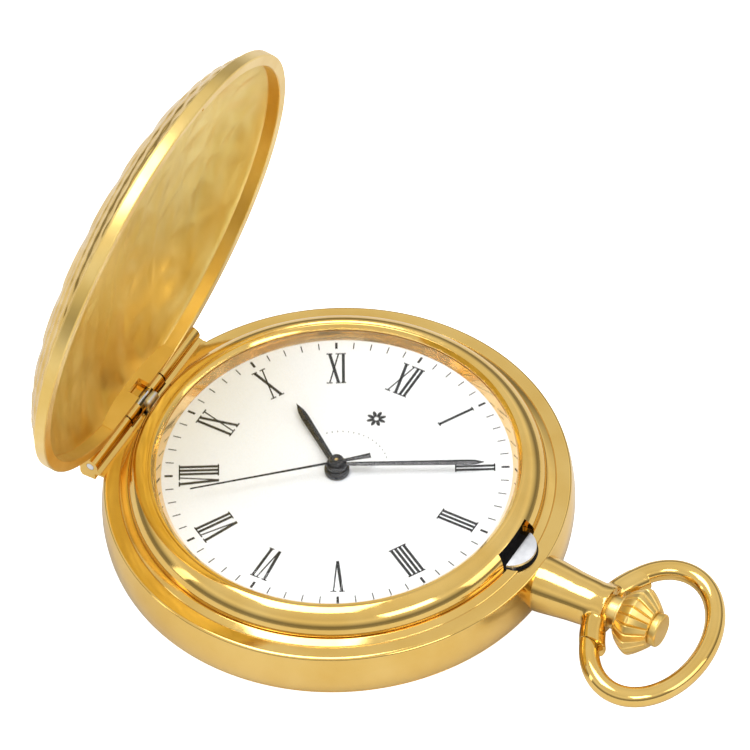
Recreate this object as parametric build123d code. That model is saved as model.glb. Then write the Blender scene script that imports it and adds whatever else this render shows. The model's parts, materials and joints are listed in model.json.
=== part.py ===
"""Hunter-case pocket watch: hinged front cover, push-button crown, winding works,
going train, centre seconds, and an oval bow on the pendant.

Frame, in millimetres: the origin is the middle of the flat on the case back, +Z points out
of the dial, +X along the crown (3 o'clock) and +Y towards 12 o'clock. The front cover is
open, as it stands on its lift spring.
"""
import math
import os

from build123d import *

# ---------------------------------------------------------------- driving dimensions
CASE_R = 24.15            # case band at its fullest
BAND_LOW_Z = 2.6          # joint between band and case back
SHELF_Z = 7.6             # shelf that the closed cover rests on
DIAL_Z = 9.0              # face of the dial
DIAL_T = 0.4
DIAL_R = 19.0
BEZEL_R = 21.4
CRYSTAL_R = 18.5
STEM_Z = 4.65             # height of the crown and stem axis
MOVEMENT_R = 13.3

LID_R = 23.7
LID_OPEN = 80.0           # degrees that the cover stands open
LID_RIM_Z = 7.75          # underside of the rim when closed
LID_BAND_H = 1.25         # height of the plain band round the cover's rim
LID_H = 6.0
LID_T = 0.6
LID_INNER_R = 22.35
LID_CUT = -22.15          # flat edge of the cover, along the hinge
TONGUE_REACH = 22.75      # how far out the latch tongue stands
TIP_WAY = 1.05            # half width of the cover's window for the lift spring's tip
HINGE_X, HINGE_Z = -23.1, 7.9
HINGE_HALF = 10.4         # half the length of the hinge
KNUCKLE_R = 0.85
PIN_R = 0.4

PIVOT_X = 32.15           # bow pivot
BOW_TILT = -12.0          # degrees the bow droops below the plane of the watch
BOW_REACH = 4.38          # pivot to the middle of the oval
BOW_A, BOW_B = 5.6, 8.65  # half axes of the oval, along and across the stem
WIRE_R = 1.05
EAR_Y = 5.0               # the bow leaves its ears at this distance from the stem

CROWN_X0, CROWN_X1 = 32.95, 36.75
CROWN_R = 3.57
CROWN_RIBS = 22

HOUR_ANGLE = 305.1        # hand positions, degrees clockwise from 12
MINUTE_ANGLE = 61.0
SECOND_ANGLE = 228.2

FIT = 0.03                # clearance between a fixed part and its seat
RUN = 0.04                # radial running clearance


# ---------------------------------------------------------------- helpers
def tube(r_out, r_in, z0, z1, at=(0.0, 0.0)):
    """An upright ring, or a disc when r_in is 0."""
    face = Circle(r_out) - Circle(r_in) if r_in else Circle(r_out)
    return Pos(at[0], at[1], z0) * extrude(face, z1 - z0)


def block(x0, x1, y0, y1, z0, z1):
    """An upright box between its limits."""
    centre = Pos((x0 + x1) / 2, (y0 + y1) / 2, (z0 + z1) / 2)
    return centre * Box(x1 - x0, y1 - y0, z1 - z0)


def turned(edges):
    """Turns a closed outline, drawn as (radius, height), about +Z."""
    return revolve(Plane.XZ * make_face(edges), Axis.Z)


def cap_arc(top, r, edge):
    """The arc of a shallow dome, from its middle to its edge, square to the axis at the middle."""
    rise = top - edge
    ball = (r * r + rise * rise) / (2 * rise)
    half = top - ball + math.sqrt(ball * ball - r * r / 4)
    return ThreePointArc((0, top), (r / 2, half), (r, edge))


def outline(*points):
    return Polyline(*points, close=True)


def along_x(r, x0, x1, y=0.0, z=STEM_Z):
    """A cylinder parallel to X."""
    return Pos((x0 + x1) / 2, y, z) * Rot(0, 90, 0) * Cylinder(r, x1 - x0)


def along_y(r, y0, y1, x=HINGE_X, z=HINGE_Z):
    """A cylinder parallel to Y."""
    return Pos(x, (y0 + y1) / 2, z) * Rot(90, 0, 0) * Cylinder(r, y1 - y0)


def stem_turned(points):
    """Turns an outline, drawn as (x, radius), about the stem axis."""
    face = make_face(outline(*points))
    return Pos(0, 0, STEM_Z) * revolve(face, Axis.X)


def polar(r, degrees, at=(0.0, 0.0)):
    a = math.radians(degrees)
    return at[0] + r * math.cos(a), at[1] + r * math.sin(a)


def heading(a, b):
    return math.degrees(math.atan2(b[1] - a[1], b[0] - a[0]))


def solids(*shapes):
    """Separate solids as one node."""
    return Compound(children=[s for shape in shapes for s in shape.solids()])


def largest(shape):
    """The main solid, without crumbs that a cut has left."""
    return max(shape.solids(), key=lambda solid: solid.volume)


def joined(shapes):
    """One shape from a list of touching ones."""
    result = shapes[0]
    for shape in shapes[1:]:
        result += shape
    return result


def link(a, b, width, z0, z1):
    """A flat bar with round ends, from one centre to another."""
    middle = ((a[0] + b[0]) / 2, (a[1] + b[1]) / 2, z0)
    face = SlotOverall(math.dist(a, b) + width, width)
    return Pos(*middle) * Rot(0, 0, heading(a, b)) * extrude(face, z1 - z0)


# ---------------------------------------------------------------- gearing
TOOTH_ADD, TOOTH_DED = 0.85, 1.15    # tip and root, in modules from the pitch circle
TOOTH_ROOT, TOOTH_TIP = 0.30, 0.12   # half widths, in tooth pitches
SPOKE_WIDTH = 0.42


def mesh_phase(a, teeth_a, phase_a, b, teeth_b):
    """The phase that sets gear b's gap on gear a's tooth."""
    line = heading(a, b)
    share = ((line - phase_a) / (360.0 / teeth_a)) % 1.0
    return line + 180.0 + (share + 0.5) * 360.0 / teeth_b


def gear_face(teeth, module, phase=0.0, bore=0.0, rim=0.0, hub=0.0, spokes=4):
    """A toothed face, spoked when rim and hub are given."""
    pitch_r, step = teeth * module / 2, 360.0 / teeth
    root_r, tip_r = pitch_r - TOOTH_DED * module, pitch_r + TOOTH_ADD * module
    points = []
    for i in range(teeth):
        middle = phase + i * step
        for r, share in (
            (root_r, -TOOTH_ROOT),
            (tip_r, -TOOTH_TIP),
            (tip_r, TOOTH_TIP),
            (root_r, TOOTH_ROOT),
        ):
            points.append(polar(r, middle + share * step))
    face = make_face(outline(*points))
    if rim:
        window = Circle(root_r - rim) - Circle(hub)
        for i in range(spokes):
            spoke = Pos(root_r / 2, 0) * Rectangle(root_r, SPOKE_WIDTH)
            window -= Rot(0, 0, phase + i * 360.0 / spokes) * spoke
        face -= window
    if bore:
        face -= Circle(bore)
    return face


def gear(at, z0, z1, **shape):
    return Pos(at[0], at[1], z0) * extrude(gear_face(**shape), z1 - z0)


def arbor(at, z0, z1, r=0.28, pivot=0.1, pivot_length=0.45):
    """A staff with a thinner pivot at each end."""
    return (
        tube(r, 0, z0, z1, at)
        + tube(pivot, 0, z0 - pivot_length, z0, at)
        + tube(pivot, 0, z1, z1 + pivot_length, at)
    )


# Centres of the wheels, on the movement.
CENTRE = (0.0, 0.0)
BARREL = polar(6.6, 80.0)
M_BARREL = 2 * 6.6 / 70              # 60-tooth barrel drives the 10-leaf centre pinion
M_CENTRE = 0.15                      # 64-tooth centre wheel, 8-leaf third pinion
THIRD = polar(M_CENTRE * 36, 200.0)
M_THIRD = 2 * (M_CENTRE * 36) / 68   # 60-tooth third wheel, 8-leaf seconds pinion
M_SECONDS = 0.1365                   # 70-tooth seconds wheel, 7-leaf escape pinion
ESCAPE = polar(M_SECONDS * 38.5, 255.0)
BALANCE = (4.8, -6.9)
M_WIND = 0.2923                      # crown wheel 26, ratchet wheel 30
CROWN_WHEEL = (BARREL[0] + math.sqrt((M_WIND * 28) ** 2 - BARREL[1] ** 2), 0.0)
M_MOTION = 0.17                      # cannon 10 to minute wheel 30, its pinion 8 to hour wheel 32
MINUTE = polar(M_MOTION * 20, -35.0)
SETTING = (MINUTE[0] + 3.35, MINUTE[1] + 0.95)
SETTING_TEETH = 11

CLUTCH_X = 7.85                      # inner end of the clutch
GROOVE_X = 11.3                      # the setting lever's groove in the stem

# Heights of the movement's layers.
PLATE_Z = (6.2, 6.9)
BARREL_Z = (4.72, 6.1)
BARREL_TEETH_Z = (5.5, 5.85)
CENTRE_WHEEL_Z = (4.35, 4.5)
THIRD_WHEEL_Z = (3.92, 4.05)
SECONDS_WHEEL_Z = (3.5, 3.64)
BRIDGE_Z = (2.55, 3.2)
BARREL_BRIDGE_Z = (3.2, 4.6)
RATCHET_Z = (2.62, 3.1)
BALANCE_Z = (3.75, 4.2)
ESCAPE_Z = (4.6, 4.75)

PILLARS = {
    "barrel": [polar(11.6, 25.0), polar(11.9, 135.0), polar(11.2, 165.0)],
    "train": [polar(11.9, 193.0), polar(10.6, 243.0)],
    "cock": [polar(12.05, 330.0)],
}


# ---------------------------------------------------------------- case
def case_band():
    wall = [
        Line((22.5, BAND_LOW_Z), (23.85, BAND_LOW_Z)),
        ThreePointArc((23.85, BAND_LOW_Z), (CASE_R, 5.0), (23.8, 7.35)),
        ThreePointArc((23.8, 7.35), (23.76, 7.5), (23.6, SHELF_Z)),
        Line((23.6, SHELF_Z), (22.15, 7.68)),
        Line((22.15, 7.68), (21.5, 8.02)),
        Line((21.5, 8.02), (20.3, 8.02)),
        Line((20.3, 8.02), (20.3, 8.6)),
        Line((20.3, 8.6), (19.4, 8.6)),
        Line((19.4, 8.6), (19.4, 6.9)),
        Line((19.4, 6.9), (22.5, 6.9)),
        Line((22.5, 6.9), (22.5, BAND_LOW_Z)),
    ]
    band = turned(wall)
    band -= along_x(1.75, 20, 26)                                # plunger bore
    band -= block(20.4, 22.3, -2.75, 2.75, 6.5, 9)               # latch slot
    band -= block(20.4, 23.0, -2.75, 2.75, 7.35, 9)             # recess under the latch tongue
    band -= block(-22.4, -21.45, -1.25, 1.25, 6.5, 9)            # lift spring slot
    band -= block(-25, -21.35, -11, 11, 7.0, 9)                  # step that takes the hinge plate
    return band


def hinge_plate():
    """The plate let into the band, with the two long knuckles that the pin runs through."""
    section = outline(
        (-24.1, 6.2), (-24.35, 6.6), (-24.35, HINGE_Z), (HINGE_X, HINGE_Z), (-21.95, 7.3),
        (-21.38, 7.3), (-21.38, 7.02), (-22.6, 7.02), (-22.6, 6.2),
    )
    plate = Pos(0, HINGE_HALF, 0) * extrude(Plane.XZ * make_face(section), 2 * HINGE_HALF)
    plate -= case_band()
    for side in (-1, 1):
        y0, y1 = sorted((side * 3.4, side * HINGE_HALF))
        plate += along_y(KNUCKLE_R, y0, y1)
    plate -= along_y(1.0, -3.4, 3.4)
    plate -= block(-25, -21.3, -3.4, 3.4, 7.6, 9)
    plate -= block(-22.4, -21.3, -1.25, 1.25, 6.0, 9)
    plate -= along_y(PIN_R + FIT, -11, 11)
    return largest(plate)


def hinge_pin():
    return along_y(PIN_R, -HINGE_HALF, HINGE_HALF)


def case_back():
    shell = [
        Line((0, 0), (12.5, 0)),
        ThreePointArc((12.5, 0), (19.6, 0.75), (23.7, 2.35)),
        Line((23.7, 2.35), (23.75, BAND_LOW_Z - 0.02)),
        Line((23.75, BAND_LOW_Z - 0.02), (22.45, BAND_LOW_Z - 0.02)),
        Line((22.45, BAND_LOW_Z - 0.02), (22.45, 2.9)),
        Line((22.45, 2.9), (21.7, 2.9)),
        Line((21.7, 2.9), (21.7, 2.3)),
        ThreePointArc((21.7, 2.3), (18.0, 1.28), (12.3, 0.7)),
        Line((12.3, 0.7), (0, 0.7)),
        Line((0, 0.7), (0, 0)),
    ]
    return turned(shell)


def bezel():
    body = [
        Line((20.33, 8.05), (BEZEL_R, 8.05)),
        Line((BEZEL_R, 8.05), (BEZEL_R, 8.35)),
        ThreePointArc((BEZEL_R, 8.35), (20.93, 9.75), (19.55, 10.5)),
        ThreePointArc((19.55, 10.5), (18.95, 10.45), (CRYSTAL_R, 10.08)),
        Line((CRYSTAL_R, 10.08), (CRYSTAL_R, 9.92)),
        Line((CRYSTAL_R, 9.92), (19.35, 9.92)),
        Line((19.35, 9.92), (19.35, 8.63)),
        Line((19.35, 8.63), (20.33, 8.63)),
        Line((20.33, 8.63), (20.33, 8.05)),
    ]
    ring = turned(body)
    facet = Pos(22.05, 0, 9.95) * Rot(0, 38, 0) * Box(2.0, 12, 3.0)
    slot = block(20.15, 22, -2.8, 2.8, 7.9, 9.45)
    return ring - facet - slot


def crystal():
    """A domed crystal with a steeper shoulder, so that it clears the seconds hand."""
    edge = CRYSTAL_R - FIT
    return turned([
        Line((0, 11.6), (0, 12.2)),
        cap_arc(12.2, 16.2, 11.2),
        ThreePointArc((16.2, 11.2), (17.6, 10.85), (edge, 10.3)),
        Line((edge, 10.3), (edge, 9.95)),
        Line((edge, 9.95), (17.9, 9.95)),
        ThreePointArc((17.9, 9.95), (17.0, 10.4), (15.8, 10.65)),
        cap_arc(11.6, 15.8, 10.65),
    ])


def flange_ring():
    """The sloped ring between dial and crystal."""
    return turned(outline((17.9, DIAL_Z + 0.01), (19.3, DIAL_Z + 0.01), (19.3, 9.9), (18.4, 9.9)))


def pendant():
    """The neck that the plunger slides in, with the ears that hold the bow."""
    neck = stem_turned([(23.0, 0), (23.0, 3.1), (24.2, 3.0), (31.8, 2.4), (31.8, 0)])
    arm_path = ThreePointArc((33.1, -6.5, STEM_Z), (30.6, 0, STEM_Z), (33.1, 6.5, STEM_Z))
    arms = sweep(Plane(origin=arm_path @ 0, z_dir=arm_path % 0) * Circle(1.3), arm_path)
    arms = arms & block(27, 36, -EAR_Y, EAR_Y, 2, 8)
    watch = turned([
        Line((0, -1), (24.0, -1)),
        Line((24.0, -1), (24.0, BAND_LOW_Z)),
        Line((24.0, BAND_LOW_Z), (23.85, BAND_LOW_Z)),
        ThreePointArc((23.85, BAND_LOW_Z), (CASE_R, 5.0), (23.8, 7.35)),
        Line((23.8, 7.35), (23.8, 9)),
        Line((23.8, 9), (0, 9)),
        Line((0, 9), (0, -1)),
    ])
    body = neck + arms - watch - along_x(1.75, 20, 34)
    for side in (-1, 1):
        y0, y1 = sorted((side * 3.2, side * 6))
        body -= along_y(0.55 + RUN, y0, y1, PIVOT_X, STEM_Z)
    return largest(body)


# ---------------------------------------------------------------- cover, bow
def opened(shape):
    """Turns a part drawn on the closed cover to the open position."""
    hinge = Axis((HINGE_X, 0, HINGE_Z), (0, -1, 0))
    return shape.rotate(hinge, LID_OPEN)


def lid_outer():
    """The cover's outside: a plain band, a small step, then a low dome."""
    z = LID_RIM_Z
    knee = (17.0, z + 4.45)
    return turned([
        Line((0, z), (LID_R, z)),
        Line((LID_R, z), (LID_R, z + LID_BAND_H)),
        Line((LID_R, z + LID_BAND_H), (23.45, z + LID_BAND_H)),
        ThreePointArc((23.45, z + LID_BAND_H), (20.7, z + 3.52), knee),
        cap_arc(z + LID_H, *knee),
        Line((0, z + LID_H), (0, z)),
    ])


def lid_hollow():
    """The space inside the cover: straight walls at the rim, then a dome."""
    z = LID_RIM_Z
    rim_top = (LID_INNER_R, z + 1.4)
    knee = (16.5, z + 3.85)
    return turned([
        Line((0, z - 1), (LID_INNER_R, z - 1)),
        Line((LID_INNER_R, z - 1), rim_top),
        ThreePointArc(rim_top, (20.0, z + 2.93), knee),
        cap_arc(z + LID_H - LID_T, *knee),
        Line((0, z + LID_H - LID_T), (0, z - 1)),
    ])


def lid_cover():
    outer = lid_outer()
    shell = (outer - lid_hollow()) & block(LID_CUT, 30, -30, 30, 0, 30)
    shell += outer & block(LID_CUT, LID_CUT + 0.65, -30, 30, 0, 30)
    shell -= block(LID_CUT - 1, LID_CUT + 1, -TIP_WAY, TIP_WAY, 7, 9.05)   # room for the lift spring's tip
    shell -= block(21.9, TONGUE_REACH + 0.1, -2.8, 2.8, 7.5, 8.1)    # way past the latch tongue
    shell -= block(21.9, 23.25, -2.8, 2.8, 8.0, 8.8)                 # catch behind it
    return opened(largest(shell))


def lid_knuckles():
    """Two short knuckles on one strap, soldered along the cover's flat edge and closing its window."""
    parts = block(HINGE_X, LID_CUT, -3.2, 3.2, 8.2, 8.75) - block(-23.95, LID_CUT, -1.3, 1.3, 7, 9)
    for y0, y1 in ((-3.2, -1.3), (1.3, 3.2)):
        parts += along_y(KNUCKLE_R, y0, y1)
    parts += block(-22.95, -22.45, -TIP_WAY - 0.45, TIP_WAY + 0.45, 8.2, 9.3)
    parts -= along_y(PIN_R + RUN, -4, 4)
    return opened(parts)


def bow():
    """An oval wire bow whose ends turn inward as pivots."""
    middle = PIVOT_X + BOW_REACH
    start = math.degrees(math.asin(EAR_Y / BOW_B))
    angles = [start + i * (360.0 - 2 * start) / 16 for i in range(17)]
    points = [
        (middle - BOW_A * math.cos(math.radians(a)), BOW_B * math.sin(math.radians(a)), 0)
        for a in angles
    ]
    path = Spline(*points)
    ring = sweep(Plane(origin=path @ 0, z_dir=path % 0) * Circle(WIRE_R), path)
    wire = ring - block(20, 45, -EAR_Y - 0.04, EAR_Y + 0.04, -3, 3) & block(20, 34, -12, 12, -3, 3)
    far = ring & block(34, 50, -12, 12, -3, 3)
    wire += far
    for side in (-1, 1):
        y0, y1 = sorted((side * 3.4, side * (EAR_Y + 0.6)))
        wire += along_y(0.55, y0, y1, PIVOT_X, 0)
        y0, y1 = sorted((side * (EAR_Y + 0.04), side * (EAR_Y + 0.5)))
        wire += along_y(WIRE_R * 0.93, y0, y1, PIVOT_X - 0.1, 0)
    wire = largest(wire)
    return (Pos(0, 0, STEM_Z) * wire).rotate(Axis((PIVOT_X, 0, STEM_Z), (0, -1, 0)), BOW_TILT)


# ---------------------------------------------------------------- crown and its works
def crown_star(r, depth):
    """The ribbed section of the crown, square to the stem."""
    step = 360.0 / CROWN_RIBS
    points = []
    for i in range(CROWN_RIBS):
        for share, radius in ((-0.32, r), (0.32, r), (0.5, r - depth)):
            points.append(polar(radius, (i + share) * step))
    return make_face(outline(*points))


def crown():
    sections = [
        Plane(origin=(x, 0, STEM_Z), z_dir=(1, 0, 0)) * crown_star(r, depth)
        for x, r, depth in ((33.2, 2.45, 0.1), (34.85, CROWN_R, 0.34), (CROWN_X1, 2.1, 0.1))
    ]
    body = loft(sections, ruled=True)
    body += along_x(2.3, CROWN_X0, 33.2)
    body -= along_x(1.42, CROWN_X0 - 1, 34.6)          # well for the gasket
    body -= block(34.2, 36.2, -0.45, 0.45, STEM_Z - 0.45, STEM_Z + 0.45)    # slides on the stem's square
    body -= along_x(1.1, 36.4, 37)                      # seat of the end cap
    return body


def crown_cap():
    return stem_turned(
        [(36.42, 0), (36.42, 1.07), (36.77, 1.07), (36.77, 1.78), (37.45, 1.78), (37.6, 1.6), (37.6, 0)]
    )


def crown_gasket():
    return stem_turned([(33.0, 1.02), (33.0, 1.38), (34.5, 1.38), (34.5, 1.02)])


def crown_plunger():
    """The sleeve that the crown pushes against the latch spring."""
    return stem_turned(
        [(21.85, 0.85), (21.85, 1.66), (31.5, 1.66), (31.5, 1.35), (32.85, 1.35), (32.85, 0.85)]
    )


def winding_stem():
    """Pilot, square for the clutch, groove for the setting lever, and a square for the crown."""
    body = along_x(0.3, 5.2, 6.75) + block(6.75, 9.6, -0.4, 0.4, STEM_Z - 0.4, STEM_Z + 0.4)
    body += along_x(0.7, 9.6, GROOVE_X - 0.25) + along_x(0.42, GROOVE_X - 0.25, GROOVE_X + 0.25)
    body += along_x(0.7, GROOVE_X + 0.25, 33.8)
    return body + block(33.8, 35.4, -0.42, 0.42, STEM_Z - 0.42, STEM_Z + 0.42)


def ratchet_teeth(x, phase, count=8):
    """Small end teeth, set in a ring round the stem."""
    tooth = Pos(0, 0.94, 0) * Box(0.2, 0.3, 0.24)
    turns = [phase + i * 360.0 / count for i in range(count)]
    return joined([Pos(x, 0, STEM_Z) * Rot(turn, 0, 0) * tooth for turn in turns])


def sliding_pinion():
    """The clutch that shifts along the stem's square between winding and setting."""
    x = CLUTCH_X
    body = along_x(1.1, x, x + 0.4) + along_x(0.8, x + 0.4, x + 0.95) + along_x(1.1, x + 0.95, x + 1.55)
    body += ratchet_teeth(x + 1.6, 0.0)
    return body - block(x - 1, x + 3, -0.44, 0.44, STEM_Z - 0.44, STEM_Z + 0.44)


def winding_pinion():
    """Turned by the clutch's end teeth, it drives the crown wheel."""
    face = gear_face(teeth=11, module=0.29, phase=0.0)
    body = Plane(origin=(9.72, 0, STEM_Z), x_dir=(0, 0, -1), z_dir=(1, 0, 0)) * extrude(face, 0.55)
    body += ratchet_teeth(9.68, 22.5)
    return body - along_x(0.74, 8, 11)


def latch_spring():
    """The lock spring: a bowed leaf inside the band, with the tongue that holds the cover."""
    leaf = tube(21.75, 21.35, 3.6, 6.4) & block(15, 22, -9, 9, 3, 7)
    leaf -= along_x(0.95, 20, 23)
    riser = block(21.3, 21.7, -2.3, 2.3, 6.3, 8.15)
    shape = Circle(2.55) & Pos(1.6, 0) * Rectangle(3.2, 4.6)
    tongue = Pos(TONGUE_REACH - 2.55, 0, 8.1) * extrude(shape, 0.35)
    tongue = tongue & block(21.3, 23.0, -2.35, 2.35, 8, 9)
    return leaf + riser + tongue


def lift_spring():
    """The fly spring: a leaf inside the band, with the finger that throws the cover open."""
    leaf = tube(21.7, 21.3, 4.3, 5.9) & block(-22, -17, -13, 13, 3, 7)
    finger = block(-22.05, -21.55, -0.9, 0.9, 5.6, 8.5)
    tip = along_y(0.42, -0.9, 0.9, -21.9, 8.5)
    return leaf + finger + tip


# ---------------------------------------------------------------- dial and hands
def dial():
    plate = tube(DIAL_R, 1.15, DIAL_Z - DIAL_T, DIAL_Z)
    for angle in (70.0, 250.0):
        plate += tube(0.35, 0, 6.4, DIAL_Z - DIAL_T, polar(12.4, angle))
    return plate


def hand(points, angle, z0, z1):
    """A flat hand, drawn pointing to 12 and set at its clock angle."""
    return Rot(0, 0, -angle) * Pos(0, 0, z0) * extrude(make_face(outline(*points)), z1 - z0)


def hour_hand():
    blade = hand([(-0.36, 0), (-0.44, 7.9), (0, 9.7), (0.44, 7.9), (0.36, 0)], HOUR_ANGLE, 9.58, 9.78)
    return blade + tube(1.3, 0, 9.1, 9.78) - tube(0.97, 0, 9, 10)


def minute_hand():
    blade = hand([(-0.3, 0), (-0.4, 13.6), (0, 15.0), (0.4, 13.6), (0.3, 0)], MINUTE_ANGLE, 10.12, 10.3)
    return blade + tube(1.08, 0, 9.9, 10.36) - tube(0.62, 0, 9.8, 10.5)


def seconds_hand():
    blade = hand(
        [(-0.34, -3.54), (-0.16, 0), (-0.12, 15.2), (0.12, 15.2), (0.16, 0), (0.34, -3.54)],
        SECOND_ANGLE, 10.5, 10.6,
    )
    return blade + tube(0.78, 0, 10.42, 11.05) - tube(0.21, 0, 10.4, 10.95)


# ---------------------------------------------------------------- movement
def wheel_envelopes():
    """Room around every turning wheel: centre, radius and heights."""
    return [
        (BARREL, 6.0, 4.62, 6.19),
        (CENTRE, 5.15, 4.2, 4.65),
        (CENTRE, 1.3, 3.2, 6.19),
        (THIRD, 5.1, 3.82, 4.15),
        (THIRD, 0.95, 3.2, 6.19),
        (CENTRE, 5.05, 3.4, 3.75),
        (ESCAPE, 2.85, 4.5, 4.9),
        (ESCAPE, 0.75, 3.2, 6.19),
        (BALANCE, 4.7, 3.3, 4.3),
        (BALANCE, 1.2, 3.3, 6.19),
    ]


def cleared(plate):
    """Cuts the wheels' room out of a bridge."""
    for at, r, z0, z1 in wheel_envelopes():
        plate -= tube(r, 0, z0, z1, at)
    return plate


def pillars(name, z0):
    """The bridge's feet on the mainplate."""
    return joined([tube(1.05, 0, z0, PLATE_Z[0] - 0.01, at) for at in PILLARS[name]])


def screw_holes(name):
    sink_z = head_z(name) + 0.3
    return joined(
        [tube(0.42, 0, 1, PLATE_Z[0], at) + tube(0.8, 0, 1, sink_z, at) for at in PILLARS[name]]
    )


def head_z(name):
    return BARREL_BRIDGE_Z[0] if name == "barrel" else BRIDGE_Z[0]


def jewel_hole(at, z0, z1):
    return tube(0.55, 0, z0, z1, at)


JEWELS_LOW = {"train": [CENTRE, THIRD, ESCAPE], "cock": [BALANCE]}
JEWELS_HIGH = [THIRD, ESCAPE, BALANCE]
PALLET = tuple((e + b) / 2 for e, b in zip(ESCAPE, BALANCE))


def movement_ring():
    """The spacer that centres the movement in the case and carries the dial."""
    ring = tube(19.3, MOVEMENT_R + 0.05, 3.0, DIAL_Z - DIAL_T - 0.01)
    ring -= tube(18.6, 0, 2.9, 5.9) - tube(15.6, 0, 2.9, 5.9)
    ring -= along_x(1.3, 12, 20)
    ring -= block(12.5, 20, -1.3, 1.3, 2.5, STEM_Z)
    for angle in (70.0, 250.0):
        ring -= tube(1.2, 0, 2.9, 3.35, polar(13.9, angle))
    return ring


def mainplate():
    plate = tube(MOVEMENT_R, 0, *PLATE_Z)
    boss = block(4.6, 12.9, -2.4, 2.4, 3.35, PLATE_Z[0]) & tube(13.0, 0, 3, 7)
    boss -= block(6.6, 10.4, -2.0, 2.0, 3, 6.6)               # room for the clutch and pinion
    boss -= along_x(0.74, 9, 14)
    boss -= along_x(0.34, 4.2, 7)
    boss -= tube(4.3, 0, 3, 3.6, CROWN_WHEEL)
    boss = cleared(boss)
    plate += boss
    plate -= block(6.6, 10.4, -2.0, 2.0, 3, 6.6)
    plate -= tube(0.72, 0, 6, 7, CENTRE)
    plate -= tube(0.42, 0, 6, 7, BARREL)
    for at in JEWELS_HIGH + [PALLET]:
        plate -= jewel_hole(at, 6, 6.75)
    for angle in (70.0, 250.0):
        plate -= tube(0.38, 0, 6, 7, polar(12.4, angle))
    plate -= block(GROOVE_X - 0.3, GROOVE_X + 1.3, 0.38, 0.92, 4.2, 7)    # setting lever's pin
    plate -= block(CLUTCH_X - 0.65, CLUTCH_X + 1.0, 0.7, 1.36, 4.2, 7)    # yoke's nib
    for group in PILLARS.values():
        for at in group:
            plate -= tube(0.3, 0, 6, 6.7, at)
    return largest(plate)


def barrel_bridge():
    half = tube(12.9, 0, *BARREL_BRIDGE_Z) & block(-14, 14, 1.9, 14, 2, 6)
    plate = cleared(half) + pillars("barrel", BARREL_BRIDGE_Z[0])
    plate -= tube(6.0, 0, 4.62, 6.19, BARREL)
    plate -= tube(0.62, 0, 3, 5, BARREL)
    plate -= block(4.4, 13.2, -2.5, 2.5, 3.1, 6.3)
    plate -= screw_holes("barrel")
    plate -= tube(5.15, 0, 3.15, 3.9)
    return largest(plate)


def train_bridge():
    """The finger bridge over the third, seconds and escape wheels."""
    foot_a, foot_b = PILLARS["train"]
    fingers = ((foot_a, THIRD), (THIRD, CENTRE), (foot_b, ESCAPE), (ESCAPE, CENTRE))
    arms = joined([link(a, b, 2.2, *BRIDGE_Z) for a, b in fingers])
    arms -= tube(4.6, 0, 2, 3.3, BARREL)
    arms += pillars("train", BRIDGE_Z[0])
    for at in JEWELS_LOW["train"]:
        arms -= jewel_hole(at, BRIDGE_Z[0] + 0.15, BRIDGE_Z[1] + 0.1)
    arms = (arms - screw_holes("train")) & tube(13.2, 0, 2, 7)
    return largest(arms)


def balance_cock():
    plate = link(PILLARS["cock"][0], BALANCE, 3.2, *BRIDGE_Z) + pillars("cock", BRIDGE_Z[0])
    plate -= jewel_hole(BALANCE, BRIDGE_Z[0] + 0.15, BRIDGE_Z[1] + 0.1)
    return (plate - screw_holes("cock")) & tube(13.2, 0, 2, 7)


def pallet_bridge():
    """A small bridge that holds the pallet fork's lower pivot."""
    foot = (PALLET[0] - 1.5, PALLET[1] - 2.6)
    plate = link(foot, PALLET, 1.6, 4.42, 4.7) + tube(0.8, 0, 4.42, PLATE_Z[0] - 0.01, foot)
    return plate - tube(0.14, 0, 4, 5, PALLET)


def bridge_screws():
    screws = []
    for name, places in PILLARS.items():
        for at in places:
            head = head_z(name)
            screw = tube(0.72, 0, head - 0.1, head + 0.28, at) + tube(0.28, 0, head + 0.2, 6.6, at)
            slit = Pos(at[0], at[1], head - 0.1) * Box(1.6, 0.16, 0.24)
            screws.append(screw - slit)
    return solids(*screws)


def jewels():
    stones = []
    for places in JEWELS_LOW.values():
        for at in places:
            stones.append(tube(0.53, 0.14, BRIDGE_Z[0] + 0.17, BRIDGE_Z[1] - 0.01, at))
    for at in JEWELS_HIGH + [PALLET]:
        stones.append(tube(0.53, 0.14, 6.22, 6.73, at))
    return solids(*stones)


def barrel_drum():
    wall = tube(5.25, 4.95, BARREL_Z[0], 5.95, BARREL) + tube(5.25, 0, 5.8, BARREL_Z[1], BARREL)
    phase = mesh_phase(CENTRE, 10, 0.0, BARREL, 60)
    rim = gear(BARREL, *BARREL_TEETH_Z, teeth=60, module=M_BARREL, phase=phase, bore=5.0)
    return wall + rim - tube(0.82, 0, 5, 7, BARREL)


def barrel_cover():
    return tube(4.92, 0.82, BARREL_Z[0], 4.88, BARREL)


def barrel_arbor():
    """The arbor that the mainspring winds on, square where the ratchet wheel sits."""
    body = tube(0.78, 0, 4.7, 6.12, BARREL) + tube(1.25, 0, 4.93, 5.75, BARREL)
    body += tube(0.38, 0, 6.12, 6.8, BARREL) + tube(0.58, 0, 3.12, 4.7, BARREL)
    body += Pos(BARREL[0], BARREL[1], 2.87) * Box(0.76, 0.76, 0.5)
    return body - tube(0.24, 0, 2.5, 4.2, BARREL)


def mainspring():
    """The coiled strip between arbor and drum."""
    turns, strip = 7, 0.12
    points = []
    for i in range(turns * 12 + 1):
        share = i / (turns * 12)
        points.append((*polar(1.45 + share * 3.35, share * turns * 360.0), 0))
    path = Spline(*points)
    face = trace(path, strip)
    return Pos(BARREL[0], BARREL[1], 4.95) * extrude(face, 0.78)


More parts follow.
